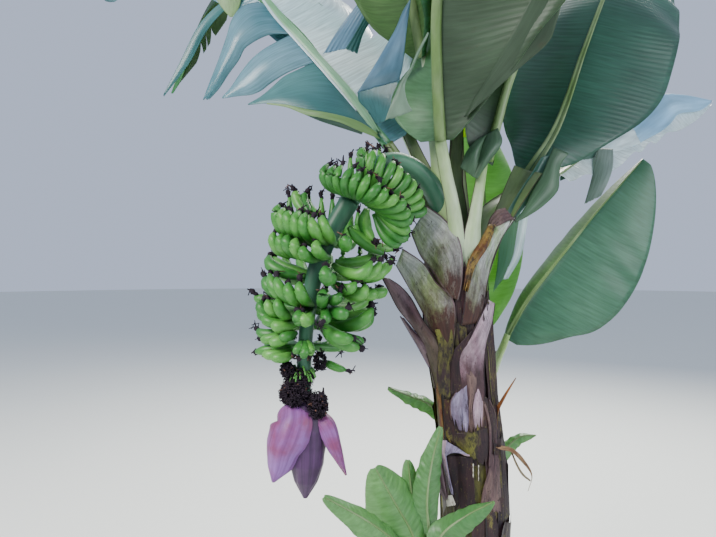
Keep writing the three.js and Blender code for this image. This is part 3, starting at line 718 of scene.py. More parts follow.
# Patches: the left and the right edge of each from the top down, as points of the photograph: its
# pixels across and down, and the place along Y. Where an edge keeps to one depth, two places
# along Y come after the edges instead.
PATCHES = {
    "sheath_left_low": (
        [(397, 265, -0.035), (407, 283, -0.05), (418, 302, -0.065), (430, 325, -0.08), (441, 345, -0.09),
         (449, 358, -0.095)],
        [(403, 249, -0.05), (424, 264, -0.075), (437, 283, -0.095), (453, 299, -0.107), (456, 325, -0.105),
         (452, 357, -0.1)],
    ),
    "sheath_left_high": (
        [(412, 232, -0.035), (416, 242, -0.045), (422, 256, -0.06), (434, 271, -0.08), (444, 287, -0.095),
         (453, 298, -0.1)],
        [(428, 206, -0.04), (442, 217, -0.065), (456, 233, -0.085), (462, 249, -0.097), (462, 280, -0.104),
         (458, 300, -0.105)],
    ),
    "stub_left": (
        [(382, 277, -0.045), (390, 292, -0.052), (399, 309, -0.06), (414, 328, -0.07), (424, 345, -0.075),
         (431, 366, -0.075), (437, 390, -0.07)],
        [(389, 279, -0.05), (400, 286, -0.062), (411, 298, -0.072), (425, 323, -0.086), (443, 345, -0.094),
         (451, 362, -0.1), (453, 384, -0.1)],
    ),
    "stub_left_low": (
        [(401, 317, -0.05), (409, 331, -0.055), (419, 348, -0.06), (430, 368, -0.06)],
        [(404, 319, -0.055), (414, 331, -0.065), (425, 343, -0.075), (436, 362, -0.08)],
    ),
    "stub_right": (
        [(489, 300, -0.062), (481, 313, -0.075), (474, 329, -0.092), (467, 343, -0.102), (458, 350, -0.106),
         (453, 360, -0.106), (451, 380, -0.104), (453, 398, -0.1)],
        [(496, 304, -0.052), (494, 318, -0.06), (488, 334, -0.072), (484, 350, -0.078), (483, 370, -0.08),
         (484, 388, -0.08), (484, 392, -0.08), (483, 400, -0.08)],
    ),
    "right_sheath": (
        [(492.4, 227.4, 0), (485, 235, -0.03), (470.6, 262, -0.078), (467, 280, -0.096),
         (464.6, 305.4, -0.1), (461.5, 325.3, -0.102)],
        [(516, 217, 0.03), (502, 237, 0), (492, 260, -0.03), (487.3, 280, -0.048), (483.4, 302.3, -0.074),
         (478.6, 322.7, -0.09)],
    ),
    "right_ragged": (
        [(488.6, 224.7, -0.012), (480.7, 239.8, -0.052), (468.2, 262, -0.09), (463.5, 290.3, -0.106)],
        [(495.6, 225, -0.018), (489, 245, -0.056), (474.8, 268, -0.096), (467.7, 292, -0.108)],
    ),
    "patch_white": (
        [(447, 499), (448, 510)],
        [(453, 498), (457, 508)],
        (-0.112, -0.114),
    ),
    "wing_left": (
        [(487, 134, -0.02), (476, 141, -0.04), (466, 152, -0.05), (460, 168, -0.05)],
        [(484, 140, -0.03), (481, 150, -0.04), (478, 163, -0.05), (474, 178, -0.05)],
    ),
    "wing_right": (
        [(487, 134, -0.02), (482, 148, -0.04), (478, 163, -0.05), (474, 178, -0.05)],
        [(498, 128, -0.01), (502, 142, -0.03), (488, 163, -0.045), (477, 179, -0.05)],
    ),
    "left_one": (
        [(265, 2, 0.35), (252, 3, 0.345), (242, 6, 0.335), (232, 19, 0.32), (226, 38, 0.31),
         (218, 61, 0.305), (210, 81, 0.3), (203, 100, 0.3)],
        [(293, 34, 0.272), (271, 34.6, 0.28), (261, 38, 0.28), (251, 44, 0.28), (244.5, 49, 0.28),
         (239, 60, 0.285), (229, 74, 0.29), (219, 89, 0.295), (209, 100, 0.3)],
    ),
    "left_two": (
        [(292, 34, 0.273), (276, 42, 0.262), (262.8, 49.8, 0.25), (251.3, 59.3, 0.245), (239.8, 73.8, 0.24),
         (230.3, 88, 0.24), (221.7, 97.5, 0.24)],
        [(315, 62, 0.225), (296, 69, 0.222), (284, 74.7, 0.22), (270, 84, 0.22), (261, 91, 0.22),
         (251, 95, 0.225), (240, 96, 0.23), (222.5, 98.6, 0.235)],
    ),
    "left_three": (
        [(315, 62, 0.225), (295.4, 70.7, 0.21), (283.8, 76.6, 0.2), (275.2, 84, 0.19), (266.8, 91.8, 0.185),
         (259, 97.7, 0.18), (247.5, 104.2, 0.18)],
        [(380, 136, 0.1), (360, 123, 0.1), (340, 116, 0.105), (322, 112, 0.11), (305, 109.4, 0.12),
         (286, 105, 0.135), (267, 103.4, 0.155), (248, 105, 0.175)],
    ),
    "left_hem": (
        [(267, 103, 0.15), (286, 104.6, 0.13), (305, 109, 0.115), (321.8, 111.7, 0.1), (340, 115.4, 0.095),
         (359, 121.4, 0.09), (378, 133, 0.09)],
        [(267, 104.2, 0.15), (287, 107.6, 0.128), (305, 114.5, 0.11), (322, 118, 0.096), (340, 122.4, 0.09),
         (357, 130, 0.088), (380, 139, 0.085)],
    ),
    "left_shade": (
        [(303, 110, 0.15), (322, 114, 0.14), (342, 121, 0.13), (364, 130, 0.12)],
        [(304, 114, 0.16), (320, 121, 0.155), (338, 127, 0.15), (362, 134.5, 0.135)],
    ),
    "left_thin": (
        [(243, -12, 0.37), (228, -2, 0.36), (212, 10, 0.35), (197, 28, 0.34), (181, 60, 0.33),
         (163, 95, 0.33)],
        [(250, -8, 0.37), (238, 1, 0.36), (222, 13, 0.35), (206, 32, 0.34), (190, 62, 0.33),
         (164, 96.5, 0.33)],
    ),
    "strip_one": (
        [(366, -8, 0), (360.7, 0, 0), (347.6, 16.7, 0.02), (334.8, 35, 0.04), (323.3, 54, 0.06)],
        [(378.8, -8, -0.01), (374, 0, -0.01), (364, 17, 0), (354, 35, 0.02), (345, 49, 0.04)],
    ),
    "strip_green": (
        [(378.8, -8, -0.01), (374, 0, -0.01), (364, 17, 0), (354, 35, 0.02), (345, 49, 0.04)],
        [(386, -8, 0), (380, 0, 0), (372, 18.5, 0.01), (363, 34.8, 0.03), (357.3, 54, 0.05)],
    ),
    "strip_two": (
        [(413, -8, -0.14), (409.4, 0, -0.135), (403, 11, -0.13), (396, 28, -0.11), (384, 49, -0.08),
         (374, 66, -0.04), (364.4, 81, 0), (357, 93, 0.05)],
        [(411.4, -8, -0.15), (410, 5, -0.145), (407.5, 23, -0.135), (405, 47, -0.11), (402.7, 66.5, -0.07),
         (399, 81, -0.02)],
    ),
    "left_rib": (
        [(259.5, -4, 0.328), (273.3, 15.2, 0.3), (289.6, 33.4, 0.265), (314.5, 61.3, 0.215),
         (340, 91, 0.163), (357, 111, 0.13), (374, 132, 0.104)],
        [(267, -4, 0.328), (284, 15, 0.3), (301, 33, 0.265), (326.5, 61.3, 0.215), (353, 91, 0.163),
         (367, 111, 0.13), (380, 132, 0.104)],
    ),
    # A thin painted highlight beside the rib of the left leaf
    "left_painted_highlight_line": (
        [(259, -4, 0.318), (272.3, 15.6, 0.29), (288.6, 34, 0.255), (313.3, 61.4, 0.205), (339, 91, 0.153),
         (356, 111.3, 0.12)],
        [(261.5, -4, 0.318), (275.2, 15, 0.29), (291.3, 33.3, 0.255), (316, 61, 0.205),
         (341.2, 90.8, 0.153), (357.4, 111, 0.12)],
    ),
    "left_tab": (
        [(214, -5), (222, 8), (230, 17)],
        [(242, -5), (239, 8), (233, 17)],
        (0.33, 0.33),
    ),
    "front_rim": (
        [(533, -5, -0.333), (520, 19, -0.307), (507, 43, -0.281), (491, 72, -0.236), (474, 99, -0.189),
         (464, 117, -0.168)],
        [(564, -5, -0.34), (556, 24, -0.315), (550, 40, -0.3), (517, 70, -0.255), (492, 93, -0.215),
         (466, 117, -0.175)],
    ),
    "left_base": (
        [(357.4, 92, 0.1), (359, 101, 0.1), (366, 109, 0.095), (377, 124, 0.085)],
        [(399.7, 80.5, 0.03), (397, 91, 0.03), (391, 106, 0.035), (385, 122, 0.05)],
    ),
    # A painted highlight on the left leaf near its rib
    "left_painted_glare": (
        [(406, 50, 0.02), (402.3, 64.2, 0.03), (400, 80, 0.04)],
        [(417, 51, 0.01), (411, 66, 0.02), (403, 80, 0.03)],
    ),
    "front_fold": (
        [(428, 32, -0.27), (417, 52.5, -0.25), (410, 68, -0.24), (401, 81.3, -0.235), (396.6, 91.4, -0.23),
         (390.2, 106.2, -0.225), (384.6, 121.6, -0.22)],
        [(429, 34, -0.268), (419, 54.5, -0.25), (412.4, 69, -0.24), (405.5, 83, -0.235), (405, 92, -0.235),
         (407.7, 102, -0.23), (412.4, 111, -0.22)],
    ),
    # The hollow of the right leaf's petiole, in the deep skin: painted shade
    "right_channel": (
        [(540.8, 157.8, 0.075), (531.7, 172.7, 0.062), (522.4, 186.5, 0.05), (513.2, 201.4, 0.035),
         (503.5, 217.5, 0.02)],
        [(550.5, 153.3, 0.09), (542.7, 174, 0.075), (531.2, 194.5, 0.06), (523.5, 208.4, 0.045),
         (514.3, 220, 0.03)],
    ),
    "right_wing": (
        [(553.4, 147.5, 0.095), (548.8, 157.8, 0.085), (542, 174, 0.07), (530.4, 194.6, 0.055),
         (522, 212, 0.04), (514, 221, 0.03)],
        [(568.6, 153.3, 0.1), (560.8, 165, 0.095), (559.4, 177.5, 0.085), (558, 190, 0.075),
         (544.3, 205, 0.06), (529.5, 215.3, 0.045), (515.5, 222.6, 0.035)],
    ),
    "right_crumple": (
        [(504.7, 208, 0.03), (496, 210.8, 0.02), (490, 218.6, 0.01), (487.3, 226.8, 0)],
        [(514.4, 219.7, 0.015), (509.8, 220, 0.01), (503, 223.4, 0), (495, 228.5, -0.01)],
    ),
    # The far part of the leaf behind at the right; its pale blue skin is a painted sky reflection
    "back_blade": (
        [(590, 152, 0.62), (606, 140, 0.66), (628, 122, 0.72), (645, 106, 0.77), (660, 95, 0.8),
         (684, 95, 0.85), (712, 100.5, 0.92)],
        [(592, 153, 0.62), (607, 151.6, 0.64), (630, 147.6, 0.68), (647, 139, 0.72), (663, 130, 0.76),
         (672, 122, 0.79), (678, 114.4, 0.81), (700, 110.5, 0.87), (712, 102, 0.92)],
    ),
    # A painted highlight on the leaf behind at the right
    "back_painted_highlight": (
        [(594, 149, 0.6), (604, 139, 0.63), (618, 132, 0.67), (632, 126, 0.7)],
        [(597, 150.5, 0.6), (607, 152, 0.62), (622, 150, 0.66), (641, 143, 0.7)],
    ),
    # A dark sheet where the leaf behind lies in shadow: painted shade
    "back_painted_shadow": (
        [(597, 144, 0.61), (584, 149, 0.59), (571, 158, 0.56), (560, 173, 0.52)],
        [(598, 149, 0.61), (592, 161, 0.59), (578, 173, 0.56), (560, 181, 0.52)],
    ),
    "hang_right": (
        [(598, 148, 0.6), (595, 163, 0.56), (590, 184, 0.52), (584, 205, 0.5)],
        [(613, 149, 0.6), (613, 166, 0.56), (608.6, 181, 0.52), (601, 196, 0.5)],
    ),
    # A painted highlight on the young leaf behind the trunk
    "back_painted_glare": (
        [(520, 205, 0.25), (517, 228, 0.24), (512, 255, 0.22), (503, 280, 0.2)],
        [(530, 205, 0.26), (527.5, 222, 0.25), (521, 256, 0.23), (508, 279, 0.21)],
    ),
    "back_teal": (
        [(500, 222, 0.235), (499, 245, 0.225), (497, 268, 0.21), (493, 292, 0.19)],
        [(521, 205, 0.25), (518, 228, 0.24), (513, 255, 0.22), (502, 281, 0.2)],
    ),
    # The brightest patch of the middle leaf: painted light shining through from behind
    "top_painted_backlight": (
        [(458, 104, 0.06), (458, 120, 0.055), (459, 137, 0.05)],
        [(495, 104, 0.05), (491, 121, 0.05), (482, 138, 0.05)],
    ),
    "papery_left": (
        [(465.7, 385.2), (457.3, 394.3), (452.2, 403.3), (452.2, 417), (455, 431)],
        [(470, 378.3), (470, 394.3), (470, 408), (470, 422), (469, 433.4)],
        (-0.105, -0.105),
    ),
    "papery_ridge": (
        [(463, 364.6), (466.7, 379.4), (470, 394.3), (469.6, 410.2), (470, 433.4)],
        [(472.5, 367.8), (477, 379.4), (475.4, 394.3), (472.5, 410.2), (475.8, 433.4)],
        (-0.105, -0.105),
    ),
    "papery_right": (
        [(474.7, 387.4), (473, 399), (471.8, 412.7), (474.7, 429)],
        [(479.4, 385.2), (483.4, 399), (483.7, 412.7), (482.6, 427.5)],
        (-0.1, -0.1),
    ),
    "papery_rust": (
        [(445, 401), (445, 417.4), (446, 433.2), (449.4, 444.8)],
        [(483.7, 394.2), (488.4, 412.7), (489.5, 433.2), (488.4, 462)],
        (-0.1, -0.1),
    ),
    "papery_moss": (
        [(447.2, 437), (451.6, 443), (461, 449.5), (469, 457.5)],
        [(488.4, 429), (489.5, 440), (488.4, 454), (486.3, 466.5)],
        (-0.1, -0.1),
    ),
    "right_dark": (
        [(454.8, 349.7), (452.2, 364.6), (451.5, 381.6), (452, 400)],
        [(472.5, 330), (465.7, 352), (466, 378.3), (464.2, 394.3)],
        (-0.105, -0.105),
    ),
    "moss_strip": (
        [(435.7, 330), (439.7, 347.3), (438, 373.6), (440.7, 401)],
        [(453, 330), (454.8, 348.2), (451.5, 373.6), (451.5, 401)],
        (-0.1, -0.105),
    ),
    "left_rim": (
        [(421.8, 338), (430, 362), (435.6, 379.4), (439.5, 410.3), (442.7, 440)],
        [(426.5, 340.2), (434, 364.4), (439.7, 381.6), (443.2, 410.5), (445.7, 441.5)],
        (-0.07, -0.08),
    ),
    "right_edge": (
        [(481, 393, -0.09), (486, 408, -0.08), (489.6, 424, -0.08), (490.7, 440, -0.08)],
        [(488.4, 399, -0.07), (494.3, 412.6, -0.06), (495.4, 427.7, -0.06), (494.3, 441.4, -0.06)],
    ),
    "right_rim": (
        [(483.2, 403.4, -0.085), (487.5, 422, -0.08), (488.5, 444.7, -0.08), (487.5, 465.4, -0.08)],
        [(485.2, 403.6, -0.083), (489.8, 421.7, -0.078), (491, 445, -0.078), (489, 465.4, -0.08)],
    ),
    "panel": (
        [(446.5, 457.5), (448.3, 473.4), (453, 490.7), (455.2, 510.2)],
        [(472.5, 457.5), (473.6, 473.4), (474.7, 490.7), (474.7, 510.2)],
        (-0.1, -0.1),
    ),
    "fold": (
        [(438, 441, -0.1), (440, 449.2, -0.11), (443.5, 460, -0.105), (448.3, 478, -0.1),
         (453, 496.5, -0.1)],
        [(447.7, 443.2, -0.115), (446, 451.6, -0.115), (447, 462, -0.11), (450, 479, -0.105),
         (454.5, 497.6, -0.1)],
    ),
    "fold_top": (
        [(447, 443.2, -0.115), (446, 449.4, -0.118), (445, 459.8, -0.11)],
        [(469.6, 456, -0.11), (465.5, 456, -0.113), (455.8, 451.6, -0.115)],
    ),
    "flap": (
        [(432, 449, -0.07), (428.6, 465.5, -0.072), (432.2, 479.3, -0.08), (445.6, 500, -0.09)],
        [(439.6, 447, -0.085), (442, 462, -0.095), (445, 479.2, -0.098), (447.6, 498.6, -0.1)],
    ),
    "right_tan": (
        [(491.2, 454, -0.09), (488.3, 470.2, -0.09), (482.6, 490.7, -0.095), (480.5, 510.2, -0.1)],
        [(500.5, 454, -0.05), (497.7, 473.6, -0.05), (498.8, 490.7, -0.055), (501.7, 510, -0.06)],
    ),
}


# Leaves. Each has a petiole, a rib and a blade on both sides of it; a pair of values is for its left
# and its right half. face is the way the upper side looks, and droop is how far each half hangs
# below it, in degrees. widest, base and trim shape the outline. tears cuts a half into strips: their
# number, depth and swing; cuts gives the edges, depths and swings of a half one by one, and points
# and sag say how a strip narrows and hangs. skins are the materials of the left and right half
# seen from above, and then from below. patches have a material, a bulge and a number of pleats.
# tipped is for a leaf that is split at its bend into two nodes.
LEAF_DEFAULTS = {
    "tipped": False,
    "widest": 0.35,
    "base": (0.7, 0.7),
    "trim": {},
    "droop": [(15, 15), (30, 30)],
    "ripple": 0.012,
    "tears": (0, 0, 0),
    "cuts": {},
    "points": (0.5, 0.4),
    "sag": 0.06,
    # Strips of the right half that end before darker_foot take the left half's skin, so a painted highlight
    # on the right half stops short of its foot
    "darker_foot": 0,
    "patches": (),
    "rib_start": RIB_START,
    "rib_top": 2.4,
    "rib_skin": RIB,
    "stem_halves": [0.062, 0.05, 0.036, 0.03, 0.026],
    "stem_bends": [0.085, 0.05, 0.024, 0.018, 0.0165],
}
YOUNG_DEFAULTS = {**LEAF_DEFAULTS, "ripple": 0.004, "rib_start": 0.0045, "skins": ("sunny",) * 4}

LEAVES = {
    "front": {
        "petiole": [(-0.06, -0.074, 1.45), (-0.072, -0.084, 1.6), (-0.1, -0.106, 1.72),
                    (-0.117, -0.12, 1.8)],
        "rib": [(-0.134, -0.172, 1.975), (-0.142, -0.235, 2.135), (-0.11, -0.48, 2.5),
                (-0.02, -0.85, 2.72), (0.06, -1.2, 2.68), (0.09, -1.45, 2.52)],
        "halves": (0.36, 0.29),
        "face": [(0.1, 0.95, 0.3), (0, 0.55, 0.85), (0.1, -0.4, 0.9)],
        "droop": [(5, 0), (7, -84), (9, -104), (13, -95), (19, -60), (25, -30), (28, 0), (31, 20),
                  (33, 32), (35, 36), (38, 38)],
        "widest": 0.3,
        "base": (0.85, 0.6),
        "tipped": True,
        "skins": ("upper", "upper", "under", "under_green"),
        "patches": (("front_fold", "mist", 0.006, 0), ("front_rim", "under", 0.008, 0)),
        "stem_halves": [0.03, 0.027, 0.024, 0.023, 0.022],
        "stem_bends": [0.04, 0.028, 0.02, 0.018, 0.0165],
    },
    "right": {
        "petiole": [(0.005, 0.005, 1.29), (0.05, 0.02, 1.47), (0.092, 0.045, 1.57), (0.15, 0.075, 1.68),
                    (0.188, 0.096, 1.748)],
        "rib": [(0.298, 0.16, 1.904), (0.436, 0.27, 2.209), (0.53, 0.34, 2.41),
                (0.69, 0.55, 2.66), (0.872, 0.85, 2.86), (0.98, 1.06, 2.88)],
        "halves": (0.3, 0.32),
        "face": [(-0.3, -0.9, 0.3), (-0.3, -0.85, 0.35), (-0.1, -0.4, 0.9)],
        "droop": [(8, 8), (12, 15), (35, 35)],
        "widest": 0.33,
        "base": (0.8, 1.2),
        # The upper side of both halves is deep: the green darkened as painted shade
        "skins": ("deep", "deep", "under_green", "under_green"),
        "stem_halves": [0.05, 0.045, 0.036, 0.042, 0.05],
        "stem_bends": [0.07, 0.05, 0.036, 0.045, 0.06],
        # The first patch, the petiole's hollow, is deep: painted shade
        "patches": (("right_channel", "deep", -0.012, 0), ("right_wing", "wing", 0.01, 0)),
    },
    "left": {
        "petiole": [(-0.085, 0.03, 1.44), (-0.11, 0.03, 1.55), (-0.178, 0.055, 1.703),
                    (-0.248, 0.098, 1.834)],
        "rib": [(-0.425, 0.2, 2.079), (-0.542, 0.28, 2.258), (-0.685, 0.35, 2.409),
                (-0.95, 0.46, 2.62), (-1.2, 0.56, 2.68), (-1.39, 0.64, 2.59)],
        "halves": (0.4, 0.33),
        "face": [(-0.2, -0.9, 0.3), (-0.1, -0.85, 0.4), (-0.1, -0.3, 0.95)],
        "droop": [(12, 5), (15, 10), (40, 30)],
        "widest": 0.36,
        "base": (2.2, 0.5),
        "sag": 0.03,
        "trim": {-1: [0.1, 0.1, 0.1, 0.1, 0.12, 0.28, 0.32, 0.38, 0.5, 0.7, 1]},
        "points": (1.0, 0.8),
        "darker_foot": 0.13,
        "rib_top": 1.0,
        "rib_skin": RIB_DEEP,
        "cuts": {
            -1: ([0, 0.45, 0.58, 0.72, 0.86, 1], [0.02, 0.5, 0.6, 0.7, 0.5, 0.02], [0, -6, 8, -5, 5]),
            1: ([0, 0.12, 0.25, 0.45, 0.65, 0.82, 1], [0.02, 0.5, 0.3, 0.6, 0.4, 0.5, 0.02],
                [5, -5, 4, -6, 8, -6]),
        },
        # Two patches here are teal, with painted sky sheen, and two thin ones take the glare skin: painted
        # highlights
        "patches": (
            ("left_one", "teal", 0.02, 0), ("left_two", "teal", 0.015, 0),
            ("left_three", "sea", 0.01, 0),
            ("left_hem", "hem", 0.002, 0), ("left_shade", "deep", 0.0, 0), ("left_thin", "sea", 0.004, 0),
            ("left_base", "sea", 0.004, 0), ("left_painted_glare", "glare", 0.002, 0),
            ("left_tab", "hem", 0.002, 0), ("left_rib", "rib", 0.007, 0), ("left_painted_highlight_line", "glare", 0.001, 0),
        ),
        # The left half's upper side is teal, with painted sky sheen, and the right half's is glare, a
        # painted highlight over the whole half
        "skins": ("teal", "glare", "under_green", "under_green"),
    },
    "right_back": {
        "petiole": [(0.01, 0.045, 1.43), (0.07, 0.13, 1.6), (0.23, 0.29, 1.72), (0.39, 0.44, 1.8)],
        "rib": [(0.56, 0.59, 1.905), (0.76, 0.72, 2.045), (0.995, 0.83, 2.143), (1.27, 0.92, 2.205)],
        "halves": (0.17, 0.13),
        "face": [(-0.1, -0.6, 0.8), (0, -0.5, 0.85)],
        "droop": [(10, 15), (20, 30)],
        "widest": 0.45,
        # Of these patches the first is a painted sky reflection, the second a painted highlight and the
        # third painted shade
        "patches": (
            ("back_blade", "painted_sky_sheen", 0.01, 0), ("back_painted_highlight", "glare", 0.008, 0),
            ("back_painted_shadow", "deep", 0.01, 0), ("hang_right", "haze", 0.008, 0),
        ),
        # Both upper halves are glare: a painted highlight
        "skins": ("glare", "glare", "under", "under"),
    },
    "right_front": {
        "petiole": [(-0.008, -0.07, 1.4), (0, -0.06, 1.56), (0.02, -0.035, 1.68), (0.036, -0.012, 1.768)],
        "rib": [(0.07, 0.01, 1.89), (0.105, 0.01, 2.012), (0.205, -0.02, 2.251), (0.39, -0.16, 2.6),
                (0.64, -0.33, 2.8), (0.9, -0.52, 2.78), (1.12, -0.7, 2.6)],
        "halves": (0.28, 0.28),
        "face": [(-0.6, 0.75, 0.3), (-0.5, 0.6, 0.6), (0.3, -0.2, 0.9)],
        "droop": [(-35, -35), (-62, -66), (-60, -60), (0, 0), (25, 25), (40, 40)],
        "widest": 0.4,
        "base": (0.6, 0.6),
        "tears": (3, 0.5, 14),
        "patches": (("wing_left", "wing", 0.012, 0), ("wing_right", "wing", 0.012, 0)),
        "tipped": True,
        "skins": ("upper", "upper", "under", "under"),
    },
    "top": {
        "petiole": [(-0.058, 0.022, 1.5), (-0.058, 0.026, 1.64), (-0.052, 0.036, 1.76),
                    (-0.042, 0.048, 1.89)],
        "rib": [(-0.02, 0.08, 2.15), (0.01, 0.12, 2.45), (0.04, 0.19, 2.75), (0.06, 0.29, 3.01)],
        "halves": (0.19, 0.19),
        "face": [(0.1, -1, 0.1), (0.1, -0.9, 0.4)],
        "droop": [(-40, -40), (-15, -15)],
        "widest": 0.5,
        # The lime patch and the bright skins paint in light shining through the blade from behind
        "patches": (("top_painted_backlight", "lime", 0.004, 0),),
        "skins": ("bright", "bright", "bright", "bright"),
    },
    "left_back": {
        "petiole": [(-0.07, 0.058, 1.43), (-0.11, 0.09, 1.64), (-0.19, 0.18, 1.88), (-0.29, 0.29, 2.13)],
        "rib": [(-0.43, 0.4, 2.39), (-0.62, 0.53, 2.62), (-0.82, 0.66, 2.7),
                (-0.98, 0.76, 2.59), (-1.095, 0.8, 2.38), (-1.165, 0.815, 2.222)],
        "halves": (0.27, 0.27),
        "face": [(0.35, -0.6, 0.6), (-0.3, -0.1, 0.95), (-0.85, 0.3, 0.4)],
        "droop": [(20, 20), (30, 30), (45, 45)],
        "base": (2.6, 2.6),
        "trim": {
            -1: [0.15, 0.18, 0.22, 0.3, 0.6, 0.7, 0.5, 0.4, 0.35, 0.35, 0.3],
            1: [1, 1, 1, 1, 1, 0.8, 0.6, 0.5, 0.4, 0.35, 0.3],
        },
        "tears": (8, 0.7, 18),
        "tipped": True,
        "skins": ("upper", "upper", "under_green", "under"),
    },
    "back": {
        "petiole": [(-0.04, 0.06, 1.42), (-0.035, 0.11, 1.65), (-0.015, 0.21, 1.9), (0.005, 0.33, 2.13)],
        "rib": [(0.025, 0.48, 2.39), (0.045, 0.7, 2.61), (0.06, 0.95, 2.68), (0.07, 1.19, 2.56),
                (0.075, 1.38, 2.32)],
        "halves": (0.3, 0.3),
        "face": [(0, -0.9, 0.4), (0, -0.1, 1), (0, 0.75, 0.6)],
        "droop": [(15, 15), (25, 25), (40, 40)],
        "tears": (4, 0.5, 14),
        "tipped": True,
        "skins": ("upper", "upper", "under_green", "under"),
    },
    "left_front": {
        "petiole": [(-0.095, -0.045, 1.47), (-0.112, -0.048, 1.64), (-0.136, -0.048, 1.85),
                    (-0.158, -0.06, 2.05)],
        "rib": [(-0.23, -0.15, 2.33), (-0.38, -0.3, 2.6), (-0.6, -0.47, 2.74),
                (-0.84, -0.64, 2.69), (-1.04, -0.79, 2.5), (-1.15, -0.88, 2.3)],
        "halves": (0.27, 0.27),
        "face": [(0.7, 0.6, 0.4), (0, 0, 1), (-0.65, -0.5, 0.6)],
        "droop": [(15, 15), (25, 25), (40, 40)],
        "tears": (4, 0.5, 14),
        # Two strips here take the blue skin, with painted sky sheen
        "patches": (
            ("strip_one", "blue", 0.006, 5), ("strip_green", "sea", 0.002, 3),
            ("strip_two", "blue", 0.012, 0),
        ),
        "tipped": True,
        "skins": ("upper", "upper", "band", "band"),
    },
}

YOUNG_LEAVES = {
    "sucker_right": {
        "rib": [(0.125, 0.122, 1.228), (0.195, 0.128, 1.347), (0.262, 0.138, 1.432), (0.345, 0.152, 1.53),
                (0.44, 0.172, 1.64), (0.6, 0.2, 1.812)],
        "halves": (0.13, 0.25),
        "face": [(-0.3, -0.9, 0.3), (-0.25, -0.9, 0.35)],
        "droop": [(50, 5), (50, 8)],
        "widest": 0.42,
        "base": (0.6, 0.6),
        "skins": ("band", "young", "band", "band"),
        "rib_start": 0.009,
    },
    "sucker_back": {
        "rib": [(0.084, 0.222, 1.252), (0.09, 0.24, 1.479), (0.094, 0.275, 1.686), (0.09, 0.33, 1.88),
                (0.08, 0.42, 2.05)],
        "halves": (0.17, 0.17),
        "face": [(0.05, -1, 0.15), (0, -0.9, 0.4)],
        "droop": [(5, 5), (20, 20)],
        "widest": 0.4,
        # The first patch is a painted highlight in the glare skin
        "patches": (("back_painted_glare", "glare", 0.004, 0), ("back_teal", "young", 0.002, 0)),
        # The bright skins paint in light shining through the blade from behind
        "skins": ("bright", "bright", "bright", "bright"),
        "rib_start": 0.008,
    },
    "front_low_left": {
        "rib": [(-0.18, -0.196, 0.64), (-0.228, -0.235, 0.74), (-0.3, -0.268, 0.815), (-0.424, -0.3, 0.9)],
        "halves": (0.048, 0.048),
        "face": [(0.2, -0.5, 0.8), (-0.2, -0.7, 0.6)],
        "widest": 0.5,
    },
    "front_left": {
        "rib": [(-0.176, -0.19, 0.64), (-0.2, -0.205, 0.76), (-0.245, -0.212, 0.845),
                (-0.298, -0.215, 0.94)],
        "halves": (0.105, 0.105),
        "face": [(0.25, -0.9, 0.3), (0.2, -0.9, 0.3)],
        "widest": 0.42,
    },
    "front_rolled": {
        "rib": [(-0.186, -0.15, 0.7), (-0.192, -0.15, 0.8), (-0.202, -0.148, 0.88), (-0.208, -0.146, 0.936)],
        "halves": (0.032, 0.032),
        "face": [(0, -1, 0.1), (0, -1, 0.1)],
        "droop": [(40, 40), (30, 30)],
        "widest": 0.7,
    },
    "front_upright": {
        "rib": [(-0.152, -0.176, 0.742), (-0.16, -0.176, 0.83), (-0.148, -0.172, 0.93),
                (-0.122, -0.165, 1.03)],
        "halves": (0.042, 0.052),
        "face": [(0.2, -1, 0.1), (0.1, -1, 0.2)],
        "widest": 0.35,
    },
    "front_right": {
        "rib": [(-0.146, -0.176, 0.69), (-0.122, -0.21, 0.77), (-0.062, -0.222, 0.822),
                (0.008, -0.212, 0.852)],
        "halves": (0.042, 0.042),
        "face": [(0.4, -0.6, 0.7), (0, -0.6, 0.8)],
        "widest": 0.45,
    },
    "low_left": {
        "rib": [(-0.09, 0.04, 0.985), (-0.125, 0.028, 1.04), (-0.187, 0.026, 1.068), (-0.252, 0.03, 1.093)],
        "halves": (0.03, 0.03),
        "face": [(0, -0.8, 0.6), (0, -0.8, 0.6)],
        "widest": 0.4,
    },
    "low_right": {
        "rib": [(0.072, 0.04, 0.85), (0.124, 0.088, 0.898), (0.165, 0.098, 0.925), (0.214, 0.1, 0.93)],
        "halves": (0.026, 0.026),
        "face": [(0, -0.7, 0.7), (0, -0.7, 0.7)],
        "widest": 0.45,
    },
}


OUTLINE_INSET = 0.012
OUTLINE_TIP = 0.6
OUTLINE_LEAST = 0.03
VEIN_SWEEP = 0.07
CURL_DEGREES = 15
PLEAT = 0.0005
PLEAT_VEINS = 2.2
TEAR_PLACES = (0.14, 0.96)
TEAR_LEAST, TEAR_MOST, TEAR_ENDS = 0.1, 0.93, 0.02
FULL_SWING = 14
RIB_GROOVE, RIB_GROOVE_WIDTH = 0.3, 0.45


def width_share(t, widest, base):
    """The outline: the half width at t as a share of the widest."""
    inset = OUTLINE_INSET + 0.976 * t
    rise = np.sin(np.pi / 2 * np.clip(inset / widest, 0, 1)) ** base
    fall = np.cos(np.pi / 2 * np.clip((inset - widest) / (1 - widest), 0, 1)) ** OUTLINE_TIP
    return np.maximum(np.where(inset < widest, rise, fall), OUTLINE_LEAST)


